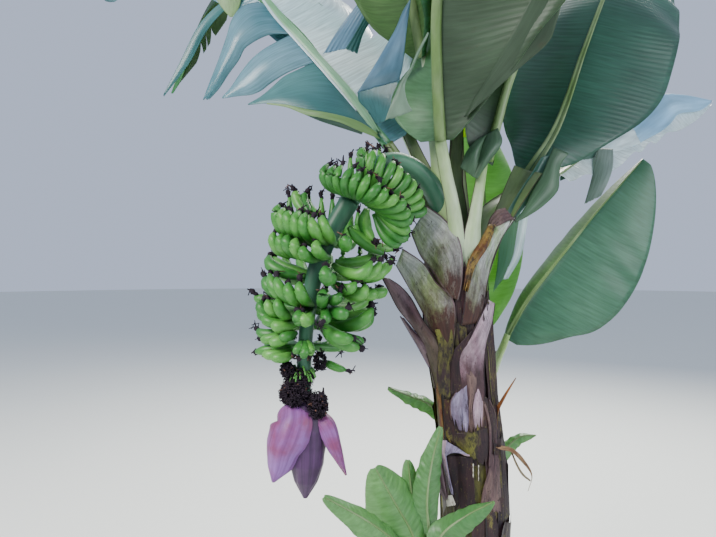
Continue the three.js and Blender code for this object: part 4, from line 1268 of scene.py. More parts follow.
def blade_points(leaf, curve, t, s, side, hang, sag):
    """Points of one half: t runs along the rib to a vein's foot, and s along the vein. hang tilts
    them down further, in degrees, and sag lowers them by a share of the half width."""
    reach = np.clip(t + VEIN_SWEEP * s**2 * np.sin(np.pi * t), 0, 1)
    centre, right, up = curve.frame(reach, blend(leaf["face"], reach))
    number = 0 if side < 0 else 1
    half = leaf["halves"][number] * width_share(reach, leaf["widest"], leaf["base"][number])
    half = half * blend(leaf["trim"].get(side, [1, 1]), reach)
    droop = blend(leaf["droop"], reach)[..., number]
    angle = np.radians(droop + CURL_DEGREES * s + hang)
    out = s * half
    ripple = leaf["ripple"] * s**2 * np.sin(reach * 34 + side * 1.3 + 2 * np.sin(reach * 11))
    pleats = t * curve.length / (VEIN_PITCH * PLEAT_VEINS)
    pleat = PLEAT * np.sin(2 * np.pi * pleats) * smooth(s, 0.02, 0.2)
    lift = ripple + pleat - out * np.sin(angle)
    points = centre + right * (side * out * np.cos(angle))[..., None] + up * lift[..., None]
    points[..., 2] -= sag * half
    return points


def strips(leaf, rng, side):
    """The edges, the depths of the tears and the swing of each strip of one half."""
    if side in leaf["cuts"]:
        return (np.array(row, float) for row in leaf["cuts"][side])
    count, depth, swing = leaf["tears"]
    places = np.sort(rng.uniform(*TEAR_PLACES, count))
    depths = depth * rng.uniform(0.5, 1.2, count)
    edges = np.concatenate([[0], places, [1]])
    cuts = np.concatenate([[TEAR_ENDS], np.clip(depths, TEAR_LEAST, TEAR_MOST), [TEAR_ENDS]])
    return edges, cuts, rng.normal(0, swing, count + 1)


def add_blade(shape, leaf, curve, rng, rows):
    """Both halves of a blade, each as the strips between its tears. Past a tear's foot a strip is
    free: it swings, narrows and sags."""
    for side in (-1, 1):
        edges, cuts, swings = strips(leaf, rng, side)
        for k in range(len(edges) - 1):
            low, high = edges[k], edges[k + 1]
            count = max(6, int(rows * (high - low)))
            veins, steps = np.linspace(low, high, count), np.linspace(0, 1, BLADE_COLUMNS)
            t, s = np.meshgrid(veins, steps, indexing="ij")
            share = (t - low) / (high - low)
            foot = 1 - (cuts[k] * (1 - share) + cuts[k + 1] * share)
            free = np.clip((s - foot) / (1 - foot), 0, 1) if len(edges) > 2 else np.zeros_like(s)
            aim, pull = leaf["points"]
            narrow = t + (low + aim * (high - low) - t) * pull * free**2 * (high - low < 0.5)
            fall = leaf["sag"] * free**2 * abs(swings[k]) / FULL_SWING
            points = blade_points(leaf, curve, narrow, s, side, swings[k] * free, fall)
            uv = np.stack([t * curve.length, side * s], axis=-1)
            if side < 0:
                points, uv = points[:, ::-1], uv[:, ::-1]
            kind = 0 if side < 0 or high < leaf["darker_foot"] else 1
            shape.grid(points[::-1], kind, uv[::-1])


def add_rib(shape, leaf, curve):
    """The rib: a round ridge below the blade, and a narrow groove above it."""
    t = np.linspace(0, RIB_REACH, RIB_ROWS)
    swell = leaf["rib_start"] - RIB_END
    below = (RIB_END + swell * (1 - t) ** 0.9)[:, None]
    above = (RIB_END * 0.6 + swell * (1 - t) ** leaf["rib_top"])[:, None]
    turn = circle(RIB_SIDES)[None, :]
    under = np.sin(turn) < -1e-6
    x = np.where(under, below, above) * np.cos(turn)
    groove = RIB_GROOVE * np.exp(-((np.cos(turn) / RIB_GROOVE_WIDTH) ** 2))
    top = above * (0.22 * np.sin(turn) - groove) + 0.0012
    y = np.where(under, -below * (0.16 + 0.95 * np.abs(np.sin(turn))), top)
    shape.tube(rings_round(curve.frame(t, blend(leaf["face"], t)), x, y), 0, grain(curve, t, x))


def petiole_hints(leaf):
    """The way the hollow side looks: in to the trunk at the foot, then as the blade does."""
    foot = np.array(leaf["petiole"][0])
    inward = trunk_centre(foot[2]) - foot
    inward[2] = 0.03
    inward, face = unit(inward), np.array(leaf["face"][0])
    return [inward, unit(inward + unit(face)), unit(face)]


def add_patches(shape, leaf):
    """Adds the leaf's patches, and gives the names of their materials."""
    extras = []
    for part, material, bulge, pleats in leaf["patches"]:
        if material not in extras:
            extras.append(material)
        kind = 2 + extras.index(material)
        patch(shape, kind, part, bulge, pleats=pleats, ragged=0.02, veins=True)
    return extras


def make_blade(name, leaf, curve, rows, slot, nodes, thickness, weld):
    """The blade with its patches, and the rib."""
    blade = Shape()
    add_blade(blade, leaf, curve, dice(name), rows)
    extras = add_patches(blade, leaf)
    skins = [*leaf["skins"][:2], *extras, *leaf["skins"][2:], *extras]
    blade.piece(f"blade_{name}", [LEAF[skin] for skin in skins], slot, nodes, thickness, weld)
    rib = Shape()
    add_rib(rib, leaf, curve)
    rib.piece(f"rib_{name}", [leaf["rib_skin"]], "petiole")


def make_leaf(name, leaf):
    curve = Curve([leaf["petiole"][-1], *leaf["rib"]])
    nodes = [f"leaf_{name}", f"leaf_{name}_tip"] if leaf["tipped"] else [f"leaf_{name}"]
    make_blade(name, leaf, curve, BLADE_ROWS, "leaf", nodes, LEAF_THICKNESS, BLADE_WELD)
    stem = Shape()
    sizes = (leaf["stem_halves"], leaf["stem_bends"], STEM_DEPTHS)
    channel(stem, leaf["petiole"], petiole_hints(leaf), *sizes, rim=STEM_RIM)
    # The hollow side takes the darker petiole green: painted shade
    skins = [PETIOLE, PETIOLE_HOLLOW_SHADE, SHEATH["purple"]]
    stem.piece(f"stem_{name}", skins, "petiole", [f"petiole_{name}"])


for leaf_name, leaf_row in LEAVES.items():
    make_leaf(leaf_name, {**LEAF_DEFAULTS, **leaf_row})

for leaf_name, leaf_row in YOUNG_LEAVES.items():
    young = {**YOUNG_DEFAULTS, **leaf_row}
    node = f"leaf_{leaf_name}"
    line = Curve(young["rib"])
    make_blade(leaf_name, young, line, YOUNG_ROWS, "young_leaf", [node], YOUNG_THICKNESS, YOUNG_WELD)


# Suckers: their stems of rolled sheaths, and the two petioles of the back one


def make_stem(name, node, path, radii, material, slot, rows=80, ridge=0.06):
    """A round stem with faint ridges along it."""
    rng = dice(name)
    curve = Curve(path)
    t = np.linspace(0, 1, rows)
    turn = circle(STEM_SIDES)[None, :]
    wrap = 1 + ridge * np.abs(np.sin(turn * 1.5 + 2 * t[:, None] + rng.random() * 3)) - ridge / 2
    radius = blend(radii, t)[:, None] * wrap
    rings = rings_round(curve.frame(t, TOWARDS_PHOTO), radius * np.cos(turn), radius * np.sin(turn))
    rings[..., 2] = np.maximum(rings[..., 2], 0.0)
    stem = Shape()
    stem.tube(rings, 0, grain(curve, t, turn * radius))
    stem.piece(name + "_skin", [material], slot, [node])


SUCKER_STEMS = {
    "sucker_front_stem": (
        [(-0.126, -0.12, 0), (-0.146, -0.148, 0.3), (-0.156, -0.164, 0.56), (-0.152, -0.162, 0.74)],
        [0.046, 0.038, 0.028, 0.018],
    ),
    "sucker_back_stem": (
        [(0.045, 0.168, 0), (0.058, 0.19, 0.42), (0.078, 0.197, 0.85), (0.092, 0.19, 1.18)],
        [0.062, 0.05, 0.036, 0.022],
    ),
}
for stem_name, (stem_path, stem_radii) in SUCKER_STEMS.items():
    make_stem(stem_name, stem_name, stem_path, stem_radii, SHEATH["green"], "sheath")

YOUNG_PETIOLE_RADII = [0.015, 0.012, 0.01]
YOUNG_PETIOLES = {
    "petiole_sucker_right": [(0.098, 0.17, 1.12), (0.108, 0.14, 1.17), (0.118, 0.124, 1.205),
                             (0.13, 0.12, 1.242)],
    "petiole_sucker_back": [(0.084, 0.212, 1.13), (0.084, 0.218, 1.2), (0.084, 0.224, 1.26)],
}
for stem_name, stem_path in YOUNG_PETIOLES.items():
    make_stem(stem_name, stem_name, stem_path, YOUNG_PETIOLE_RADII, PETIOLE, "petiole", rows=24)


# Remnants on the trunk: broad old sheaths, broken stubs and dry strips

# The sheath materials by their number
GREEN, BROWN, PAPER, PURPLE, DARK, OLIVE, TAN, WHITE, LILAC, RUST, AMBER, PALE = range(len(SHEATH))

# Patch, material, bulge, lift over the trunk, pleats, raggedness, material of the rim
OLD_SHEATHS = [
    ("moss_strip", OLIVE, 0.004, 0.0075, 0, 0.1, None),
    ("sheath_left_low", GREEN, 0.022, 0.004, 0, 0.0, PURPLE),
    ("sheath_left_high", GREEN, 0.026, 0.012, 0, 0.0, PURPLE),
    ("stub_left", PURPLE, 0.016, 0.005, 0, 0.0, DARK),
    ("stub_left_low", PURPLE, 0.010, 0.004, 0, 0.0, PAPER),
    ("right_sheath", PALE, 0.018, None, 0, 0.0, DARK),
    ("right_ragged", AMBER, 0.006, None, 2, 0.2, None),
    ("right_crumple", TAN, 0.003, None, 4, 0.25, None),
    ("papery_rust", RUST, 0.004, 0.0075, 0, 0.25, None),
    ("papery_moss", OLIVE, 0.003, 0.0085, 0, 0.3, None),
    ("papery_left", PAPER, 0.014, 0.0095, 2, 0.3, TAN),
    ("papery_right", LILAC, 0.010, 0.0095, 2, 0.3, TAN),
    ("papery_ridge", TAN, 0.008, 0.0135, 2, 0.3, None),
    ("right_dark", DARK, 0.005, 0.012, 0, 0.15, None),
    ("stub_right", LILAC, 0.018, 0.01, 0, 0.0, DARK),
    ("left_rim", AMBER, 0.002, 0.008, 0, 0.0, None),
    ("right_edge", DARK, 0.004, 0.0075, 0, 0.1, TAN),
    ("right_rim", TAN, 0.002, 0.0095, 0, 0.0, None),
    ("panel", DARK, 0.006, 0.010, 2, 0.1, None),
    ("fold", LILAC, 0.004, 0.014, 0, 0.1, PAPER),
    ("fold_top", PAPER, 0.006, 0.019, 0, 0.0, LILAC),
    ("flap", PURPLE, 0.012, None, 3, 0.15, DARK),
    ("patch_white", WHITE, 0.002, 0.016, 0, 0.1, None),
    ("right_tan", TAN, 0.006, 0.006, 4, 0.1, None),
]

# Dry strips, the hanging strap with its curl and the spike: path, the way the hollow side looks, half
# widths, radii of curl, thicknesses, materials of back, hollow side and rims, rim, waviness
DRY_STRIPS = [
    (
        [(0.03, -0.06, 0.957), (0.056, -0.07, 0.944), (0.087, -0.08, 0.938), (0.117, -0.084, 0.909),
         (0.142, -0.084, 0.87), (0.133, -0.084, 0.828)],
        [(0.3, -0.4, 0.9), (0.9, -0.3, 0.3)],
        [0.012, 0.010, 0.011, 0.009, 0.003], [0.014, 0.012, 0.014, 0.012, 0.006],
        [0.002, 0.0016, 0.0012, 0.001], (0, 1, 1), 0.0009, 0.12,
    ),
    (
        [(0.088, -0.08, 0.935), (0.1, -0.086, 0.903), (0.117, -0.086, 0.875), (0.14, -0.084, 0.856)],
        [(0.6, -0.7, 0.3), (0.6, -0.7, 0.3)],
        [0.003, 0.004, 0.004, 0.002], [0.006, 0.006, 0.006, 0.004],
        [0.001, 0.001, 0.001, 0.001], (0, 0, 1), 0.0007, 0.0,
    ),
    (
        [(0.052, -0.05, 0.98), (0.055, -0.052, 1.038), (0.071, -0.055, 1.075), (0.094, -0.056, 1.116),
         (0.109, -0.052, 1.138)],
        [(-0.7, -0.6, 0.4), (-0.7, -0.6, 0.4)],
        [0.012, 0.010, 0.007, 0.004, 0.001], [0.012, 0.009, 0.006, 0.004, 0.002],
        [0.0018, 0.0014, 0.001, 0.0008], (2, 2, 1), 0.0007, 0.0,
    ),
]

SHEATH_NODES = ["sheath_left_low", "sheath_left_high", "sheath_flap",
                "stub_left", "stub_left_low", "stub_right"]

# Drips of latex on the trunk
DRIP_RADIUS, DRIP_SWELL = 0.0012, 0.0005
LATEX = [
    [(-0.024, -0.104, 0.911), (-0.024, -0.104, 0.873)],
    [(-0.009, -0.103, 0.907), (-0.009, -0.103, 0.863)],
]


def make_remnants():
    skins = Shape()
    for name, kind, bulge, lift, pleats, ragged, rim in OLD_SHEATHS:
        patch(skins, kind, name, bulge, lift, pleats, ragged, rim)
    skins.piece("old_sheaths", [*SHEATH.values()] * 2, "sheath", SHEATH_NODES, SHEATH_THICKNESS)

    dry = Shape()
    for path, hint, halves, bends, depths, kinds, rim, wave in DRY_STRIPS:
        channel(dry, path, hint, halves, bends, depths, kinds, rim=rim, wave=wave)
    dry.piece("dry_strips", [DRY_GREY, DRY, DRY_RUST], "dry_leaf", ["dry_strap", "dry_spike"])

    drips = Shape()
    for line in LATEX:
        t = np.linspace(0, 1, 14)
        drips.tube(edge_tube(Curve(line).at(t), DRIP_RADIUS + DRIP_SWELL * np.sin(t * 17)))
    drips.piece("latex_drips", [SHEATH["white"]], "trunk")


make_remnants()


# The stalk of the bunch

ARCH = [(-0.08, -0.01, 1.6), (-0.145, -0.05, 1.7), (-0.224, -0.08, 1.748), (-0.3, -0.11, 1.725),
        (-0.364, -0.14, 1.635)]
RACHIS = [(-0.366, -0.141, 1.63), (-0.417, -0.15, 1.54), (-0.454, -0.152, 1.446), (-0.481, -0.152, 1.272),
          (-0.489, -0.152, 1.085)]
ARCH_RADII = [0.034, 0.030, 0.027, 0.027, 0.027]
RACHIS_RADII = [0.027, 0.023, 0.019, 0.019]
make_stem("arch", "peduncle_arch", ARCH, ARCH_RADII, STALK, "stalk", rows=60, ridge=0.05)
make_stem("rachis", "rachis", RACHIS, RACHIS_RADII, STALK, "stalk", rows=90, ridge=0.08)


# The hands of bananas. Each row has its hand, number of fingers, their radius, and three lines as
# points of the photograph with their place along Y: the fingers' middles, tips and roots.
FRONT_ROWS = [
    (1, 15, 0.0108,
     [(321.7, 179, -0.2), (338.5, 183.6, -0.245), (356.8, 186.5, -0.27), (373.5, 196, -0.275),
      (391, 204.4, -0.26), (401.2, 220, -0.225), (397.5, 234, -0.19), (385, 243.5, -0.17)],
     [(325, 162.6, -0.19), (339, 167, -0.22), (357.2, 169, -0.245), (373.6, 179.7, -0.25),
      (389, 190.7, -0.24), (406.2, 208, -0.21), (408.7, 229.6, -0.18), (398.2, 244.4, -0.16)],
     [(340.7, 193.7, -0.16), (347.8, 196, -0.17), (361.8, 201.3, -0.175), (370, 207, -0.175),
      (375.8, 210, -0.17), (376.4, 213.3, -0.16), (372.6, 214.7, -0.15)]),
    (1, 10, 0.0108,
     [(355.7, 160.4, -0.2), (373.4, 168, -0.2), (383.4, 172.7, -0.195), (400.3, 182, -0.18),
      (413.6, 199, -0.15), (418.4, 218, -0.11)],
     [(359.5, 147.8, -0.17), (373.5, 151, -0.17), (383, 155.7, -0.165), (400, 169, -0.15),
      (415.5, 186.5, -0.12), (424, 210, -0.09)],
     [(361.7, 189.7, -0.15), (377.4, 200.6, -0.15), (385, 207, -0.15), (389.7, 214.7, -0.13)]),
    (1, 2, 0.012,
     [(361.3, 224.2, -0.12), (368.7, 228, -0.13)],
     [(367, 236.8, -0.13), (374.3, 240.3, -0.14)],
     [(364.7, 209, -0.15), (369, 210, -0.15)]),
    (2, 7, 0.0132,
     [(274.4, 221.2, -0.17), (285.7, 224, -0.21), (304.2, 230.8, -0.255), (315.7, 232.6, -0.26),
      (332.4, 231.3, -0.25)],
     [(277.6, 207.6, -0.16), (286, 209, -0.19), (300.4, 214, -0.22), (311.3, 219, -0.235),
      (325.3, 216.4, -0.23)],
     [(288.2, 237.5, -0.15), (307.5, 244.7, -0.165), (326.7, 244, -0.165), (338.8, 243.2, -0.165)]),
    (2, 1, 0.0145, [(345.5, 244, -0.26)], [(345, 238.5, -0.27)], [(344.4, 249.2, -0.17)]),
    (2, 6, 0.0132,
     [(272, 245.4, -0.17), (282.6, 246.7, -0.21), (291.3, 248, -0.24), (307.3, 256, -0.27),
      (323.8, 249, -0.275)],
     [(272.3, 234.3, -0.16), (283.2, 234.4, -0.19), (291.4, 236.4, -0.22), (305, 245.7, -0.25),
      (322, 238.7, -0.26)],
     [(285.6, 257.3, -0.15), (297, 257.2, -0.16), (314, 259.4, -0.165), (332.4, 256.8, -0.165)]),
    (2, 3, 0.0125,
     [(292.6, 200.6, -0.1), (299, 200.6, -0.1), (313, 210.7, -0.08)],
     [(295, 192.4, -0.09), (303.4, 190, -0.09), (308, 202.6, -0.07)],
     [(299.8, 210.7, -0.13), (304.2, 211.4, -0.13), (322, 214.7, -0.13)]),
    (2, 2, 0.0135,
     [(369.3, 241.8, -0.12), (361.7, 243.4, -0.13)],
     [(398, 249, -0.1), (381, 252.8, -0.12)],
     [(349, 226.2, -0.14), (349, 228, -0.14)]),
    (3, 2, 0.0145,
     [(272.5, 270.8, -0.17), (289, 266.7, -0.12)],
     [(266, 253.8, -0.13), (276, 256.2, -0.1)],
     [(306, 279, -0.15), (311.3, 270.7, -0.14)]),
    (3, 5, 0.0138,
     [(266.8, 287, -0.17), (272.5, 290, -0.19), (281.6, 293, -0.22), (293, 297.3, -0.25),
      (308, 295.3, -0.27)],
     [(260.5, 273.7, -0.14), (267.6, 275.3, -0.17), (276.5, 278, -0.2), (289, 284, -0.23),
      (306.4, 281, -0.25)],
     [(282.6, 298, -0.15), (292, 301, -0.155), (300, 304.2, -0.16), (308.2, 304.3, -0.165),
      (315.4, 305.5, -0.165)]),
    (3, 1, 0.0125, [(322, 300, -0.265)], [(321, 291, -0.27)], [(324, 306.3, -0.17)]),
    (3, 1, 0.0155, [(327, 278.4, -0.29)], [(324, 268, -0.28)], [(333.8, 275.3, -0.17)]),
    (3, 4, 0.0145,
     [(353.2, 273.7, -0.25), (362.3, 276.3, -0.21), (369.4, 277, -0.17), (372.4, 273.7, -0.13)],
     [(365.6, 264.5, -0.25), (379, 262, -0.2), (389, 263.6, -0.15), (392, 257.3, -0.1)],
     [(334, 264.4, -0.165), (335, 266.6, -0.15), (337, 269.6, -0.13)]),
    (3, 1, 0.0145, [(358.4, 262, -0.1)], [(381, 253, -0.08)], [(335, 261.5, -0.12)]),
    (4, 4, 0.0138,
     [(340, 285.3, -0.25), (355.2, 295, -0.23), (365.3, 295, -0.2), (376.7, 293, -0.15)],
     [(350, 286, -0.26), (362.3, 283.8, -0.22), (371.4, 291, -0.19), (387, 286.8, -0.12)],
     [(331.6, 281, -0.165), (332.6, 285, -0.15), (334.6, 287.8, -0.14)]),
    (4, 1, 0.013, [(335, 300, -0.25)], [(340, 291.5, -0.26)], [(326.7, 297, -0.165)]),
    (4, 4, 0.0132,
     [(265.5, 295.2, -0.1), (262.4, 310.3, -0.15), (272.5, 310.3, -0.19), (286, 311.2, -0.235)],
     [(254.3, 290, -0.1), (260.5, 300, -0.14), (269.6, 300, -0.18), (283, 301.4, -0.22)],
     [(284, 301.3, -0.13), (278.7, 314.6, -0.145), (285.7, 317.6, -0.155), (294, 317.7, -0.16)]),
    (4, 2, 0.0145,
     [(296, 318.6, -0.265), (310, 321.7, -0.27)],
     [(295, 310.5, -0.25), (305.2, 315.6, -0.26)],
     [(303.3, 309.2, -0.165), (315.4, 310.4, -0.165)]),
    (4, 1, 0.014, [(339, 313.6, -0.26)], [(345.4, 311, -0.27)], [(328.6, 307.3, -0.165)]),
    (4, 1, 0.0135, [(326, 315.7, -0.25)], [(326.5, 321.2, -0.28)], [(324.4, 306.2, -0.165)]),
    (4, 3, 0.0152,
     [(356, 321.8, -0.22), (357.2, 325.6, -0.18), (353, 312.6, -0.15)],
     [(371.5, 308.3, -0.2), (372.4, 315.4, -0.17), (367.3, 305.2, -0.14)],
     [(329.5, 321.7, -0.155), (332, 325.6, -0.15), (330, 312.6, -0.14)]),
    (5, 3, 0.0155,
     [(334.6, 331.8, -0.26), (339, 342, -0.23), (352.3, 338, -0.18)],
     [(351.2, 335, -0.25), (358.4, 347.6, -0.22), (366.3, 338, -0.17)],
     [(321.4, 321.7, -0.165), (322.7, 329.8, -0.16), (326.6, 329.7, -0.15)]),
    (5, 3, 0.0132,
     [(263.5, 315.5, -0.15), (276.5, 326, -0.2), (285.7, 328.4, -0.21)],
     [(258.4, 305.5, -0.12), (268, 320, -0.17), (276.5, 325.3, -0.2)],
     [(294, 320.8, -0.15), (296, 323.7, -0.16), (297, 326, -0.165)]),
    (5, 4, 0.0125,
     [(266.5, 332, -0.15), (271.5, 338, -0.18), (283.7, 340.4, -0.21), (290, 332, -0.21)],
     [(259, 325, -0.12), (260, 337, -0.15), (274.6, 342, -0.2), (285, 332, -0.21)],
     [(290, 328.6, -0.15), (293, 332, -0.16), (297, 333.7, -0.165)]),
    (6, 3, 0.0118,
     [(268.6, 347, -0.16), (274.6, 355.4, -0.2), (286, 359.4, -0.22)],
     [(251.6, 347, -0.14), (262.4, 354.2, -0.18), (276.7, 358.3, -0.21)],
     [(288.7, 345.3, -0.155), (293, 350, -0.16), (296, 354, -0.165)]),
    (6, 3, 0.0112,
     [(296, 347, -0.23), (304.8, 350.3, -0.24), (312, 348, -0.22)],
     [(291, 350.5, -0.23), (303, 355.5, -0.24), (315.3, 352.3, -0.22)],
     [(300, 342, -0.17), (305, 342, -0.17), (309.2, 342, -0.17)]),
    (6, 1, 0.0098, [(333.8, 366.5, -0.17)], [(346, 369.5, -0.17)], [(323.5, 361, -0.155)]),
]

# Rows behind the stalk, in metres: hand, number, radius, how far they sag, tips and roots
BACK_ROWS = [
    (1, 8, 0.0125, 0.03,
     [(-0.38, 0, 1.77), (-0.276, 0.02, 1.803), (-0.183, 0, 1.711)],
     [(-0.359, -0.11, 1.666), (-0.298, -0.11, 1.638)]),
    (2, 8, 0.013, 0.02,
     [(-0.551, -0.05, 1.646), (-0.483, 0, 1.664), (-0.381, 0.02, 1.639), (-0.33, -0.02, 1.606)],
     [(-0.445, -0.13, 1.533), (-0.385, -0.13, 1.516)]),
    (3, 8, 0.014, 0.02,
     [(-0.598, -0.06, 1.48), (-0.542, 0, 1.505), (-0.426, 0.03, 1.511), (-0.278, -0.02, 1.498)],
     [(-0.472, -0.13, 1.424), (-0.423, -0.13, 1.435)]),
    (4, 8, 0.014, 0.02,
     [(-0.615, -0.06, 1.372), (-0.542, 0, 1.387), (-0.425, 0.02, 1.392), (-0.293, -0.03, 1.382)],
     [(-0.486, -0.13, 1.337), (-0.44, -0.13, 1.343)]),
    (5, 8, 0.013, 0.02,
     [(-0.598, -0.06, 1.309), (-0.542, 0, 1.322), (-0.425, 0.01, 1.321), (-0.336, -0.05, 1.297)],
     [(-0.494, -0.13, 1.299), (-0.461, -0.13, 1.299)]),
    (6, 7, 0.0105, 0.015,
     [(-0.611, -0.08, 1.236), (-0.554, -0.02, 1.242), (-0.453, -0.02, 1.239), (-0.378, -0.08, 1.222)],
     [(-0.499, -0.13, 1.242), (-0.478, -0.13, 1.242)]),
]
FINGER_WIDTHS = [0.5, 0.55, 0.8, 0.96, 1.02, 1.03, 1.03, 1.02, 1.0, 0.96, 0.86, 0.62, 0.34]
FULLNESS = 1.09
TIP_SCATTER = 0.003
FLOWER_WIDTHS = np.array([0.36, 0.42, 0.38, 0.54, 0.52, 0.24])
FINGER_EDGES, EDGE_HEIGHT = 5, 0.05
FLOWER_LENGTHS = (0.013, 0.023)
WHISKERS = 5
WHISKER_RADII = np.array([0.0026, 0.0022, 0.0012])


def bezier(a, b, c, d, t):
    t = t[:, None]
    return (1 - t) ** 3 * a + 3 * (1 - t) ** 2 * t * b + 3 * (1 - t) * t**2 * c + t**3 * d


def finger(shape, remains, line, radius, rng, kind):
    """One banana with its five soft edges, and the dry flower at its end."""
    t = np.linspace(0, 1, len(line))
    tangent = unit(np.gradient(line, axis=0))
    right = unit(np.cross(tangent, (0.12, 0.2, 0.97)))
    up = np.cross(right, tangent)
    turn = circle(FINGER_SIDES)[None, :]
    edges = 1 + EDGE_HEIGHT * np.cos(FINGER_EDGES * turn + rng.random() * 6)
    width = (radius * blend(FINGER_WIDTHS, t))[:, None] * edges
    rings = rings_round((line, right, up), width * np.cos(turn), width * np.sin(turn))
    shape.tube(rings, kind)
    length = rng.uniform(*FLOWER_LENGTHS)
    way = unit(tangent[-1] + rng.normal(0, 0.3, 3))
    steps = np.linspace(-0.15, 1, FLOWER_STEPS)[:, None]
    dead = line[-1] + way * length * steps + rng.normal(0, 0.001, (FLOWER_STEPS, 3))
    remains.tube(edge_tube(dead, radius * FLOWER_WIDTHS, FLOWER_SIDES))
    for _ in range(WHISKERS):
        ends = [dead[-1] + rng.normal(0, spread, 3) for spread in (0.0045, 0.0085)]
        whisker = edge_tube(np.stack([dead[3], *ends]), WHISKER_RADII, FIBRE_SIDES)
        remains.tube(whisker, int(rng.random() > 0.8))


def picture_line(points):
    """The curve through points of the photograph. One point stands for a line of a millimetre."""
    spots = list(from_picture(points))
    if len(spots) == 1:
        spots.append((spots[0] + (0.001, 0, 0)).round(3))
    return Curve(spots)


SMALL_FRUITS = 22
SMALL_FRUIT_FOOT = [-0.495, -0.152, 1.182]
SMALL_FRUIT_RADIUS = 0.0036


def make_small_fruit():
    """The ring of fruits that stay small below the last full hand."""
    tiny = Shape()
    rng = dice("tiny")
    t = np.linspace(0, 1, SMALL_FRUIT_STEPS)
    x, y, z = SMALL_FRUIT_FOOT
    for k in range(SMALL_FRUITS):
        out = outward(np.array(k * 360 / SMALL_FRUITS + rng.uniform(-6, 6)))
        foot = np.array([x, y, z + rng.uniform(-0.006, 0.01)]) + out * 0.014
        elbow = foot + out * 0.022 - (0, 0, 0.012)
        tip = foot + out * 0.026 - (0, 0, rng.uniform(0.018, 0.03))
        line = bezier(foot, foot + out * 0.014, elbow, tip, t)
        tiny.tube(edge_tube(line, SMALL_FRUIT_RADIUS * (1 - 0.4 * t), 8))
    tiny.piece("small_fruit", [FRUIT_SHADES[2]], "fruit", ["hand_7"])


def finger_line(root, tip, middle):
    """A banana's line from root to tip. middle is the point that it passes half way, or, behind
    the stalk, a number: how far it sags."""
    over = tip - root
    if isinstance(middle, np.ndarray):
        pull = (8 * middle - root - tip) / 6
        knee, elbow = pull - over * 0.2, pull + over * 0.2
    else:
        flat = over * (1, 1, 0)
        steep = over[2] * np.array([0, 0, 1.0])
        knee = root + flat * 0.42 + steep * 0.02 - (0, 0, middle)
        elbow = root + flat * 1.04 + steep * 0.3 - (0, 0, middle * 0.8)
    return bezier(root, knee, elbow, tip, np.linspace(0, 1, FINGER_STEPS))


def make_fruit():
    rows = [(*row[:3], *(picture_line(points) for points in row[3:])) for row in FRONT_ROWS]
    rows += [(*row[:4], Curve(row[4]), Curve(row[5])) for row in BACK_ROWS]
    hands = {}
    for place, (number, count, radius, middles, tips, roots) in enumerate(rows):
        rng = dice(f"row{place}")
        fruit, remains = hands.setdefault(number, (Shape(), Shape()))
        for k in range(count):
            t = np.array((k + 0.5) / count)
            tip = tips.at(t) + rng.normal(0, TIP_SCATTER, 3)
            middle = middles.at(t) if isinstance(middles, Curve) else middles
            line = finger_line(roots.at(t), tip, middle)
            size = FULLNESS * radius * rng.uniform(0.95, 1.06)
            finger(fruit, remains, line, size, rng, int(rng.integers(0, 3)))
    make_small_fruit()
    for number, (fruit, remains) in hands.items():
        fruit.piece(f"fruit_{number}", FRUIT_SHADES, "fruit", [f"hand_{number}"])
        remains.piece(f"dry_flowers_{number}", [FLOWER, FLOWER_PALE], "flower")


make_fruit()


# The collar of dry flowers below the last hand

FIBRE_WIDTHS = np.array([1, 1.3, 0.6])

# Place, half height, reach and number of fibres of each tuft
TUFTS = [
    ((-0.499, -0.152, 1.158), 0.02, 0.05, 900),
    ((-0.508, -0.158, 1.118), 0.022, 0.056, 1000),
    ((-0.448, -0.176, 1.09), 0.026, 0.036, 620),
    ((-0.442, -0.182, 1.208), 0.02, 0.024, 200),
    ((-0.528, -0.175, 1.185), 0.014, 0.026, 200),
]


def make_collar():
    """Short dry fibres that point out of each tuft."""
    rng = dice("collar")
    tufts = Shape()
    for middle, height, reach, count in TUFTS:
        for _ in range(count):
            out = outward(np.array(rng.uniform(0, 360)))
            level = rng.uniform(-1, 1)
            foot = np.array(middle) + out * reach * 0.5 * (1 - 0.5 * level**2) + (0, 0, level * height)
            way = unit(out + rng.normal(0, 0.5, 3) + (0, 0, 0.8 * level))
            length = reach * rng.uniform(0.16, 0.4)
            bend = rng.normal(0, 0.004, 3)
            line = np.stack([foot, foot + way * length * 0.5 + bend, foot + way * length])
            size = rng.uniform(0.0011, 0.0023)
            kind = 1 if rng.random() > 0.94 else 0
            tufts.tube(edge_tube(line, size * FIBRE_WIDTHS, FIBRE_SIDES), kind)
    tufts.piece("flower_tufts", [FLOWER, FLOWER_PALE], "flower", ["flower_collar"])


make_collar()


# The male bud: the heart with its furled bracts, and two bracts that have lifted off

BUD_LINE = [(-0.486, -0.152, 1.11), (-0.477, -0.15, 1.031), (-0.478, -0.152, 0.951), (-0.483, -0.155, 0.838)]
BUD_RADII = [0.016, 0.036, 0.046, 0.047, 0.043, 0.029, 0.003]
BRACT_EDGE, BUD_GROOVE, BRACT_GROOVE = 0.0025, 0.0004, 0.0005
BRACT_CURL = 40


def make_bud():
    """The heart, with the edges of its furled bracts winding round it."""
    heart = Shape()
    curve = Curve(BUD_LINE)
    t = np.linspace(0, 1, BUD_ROWS)
    turn = circle(BUD_SIDES)[None, :]
    overlap = BRACT_EDGE * smooth(np.abs(np.sin(turn * 1.5 + 2.6 * t[:, None])), 0, 0.5)
    groove = BUD_GROOVE * np.sin(turn * 40)
    radius = blend(BUD_RADII, t)[:, None] + overlap + groove
    rings = rings_round(curve.frame(t, TOWARDS_PHOTO), radius * np.cos(turn), radius * np.sin(turn))
    heart.tube(rings, 0, grain(curve, t, turn * 0.045))
    heart.piece("bud_skin", [BRACT_DEEP], "bract", ["bud_heart"])


make_bud()

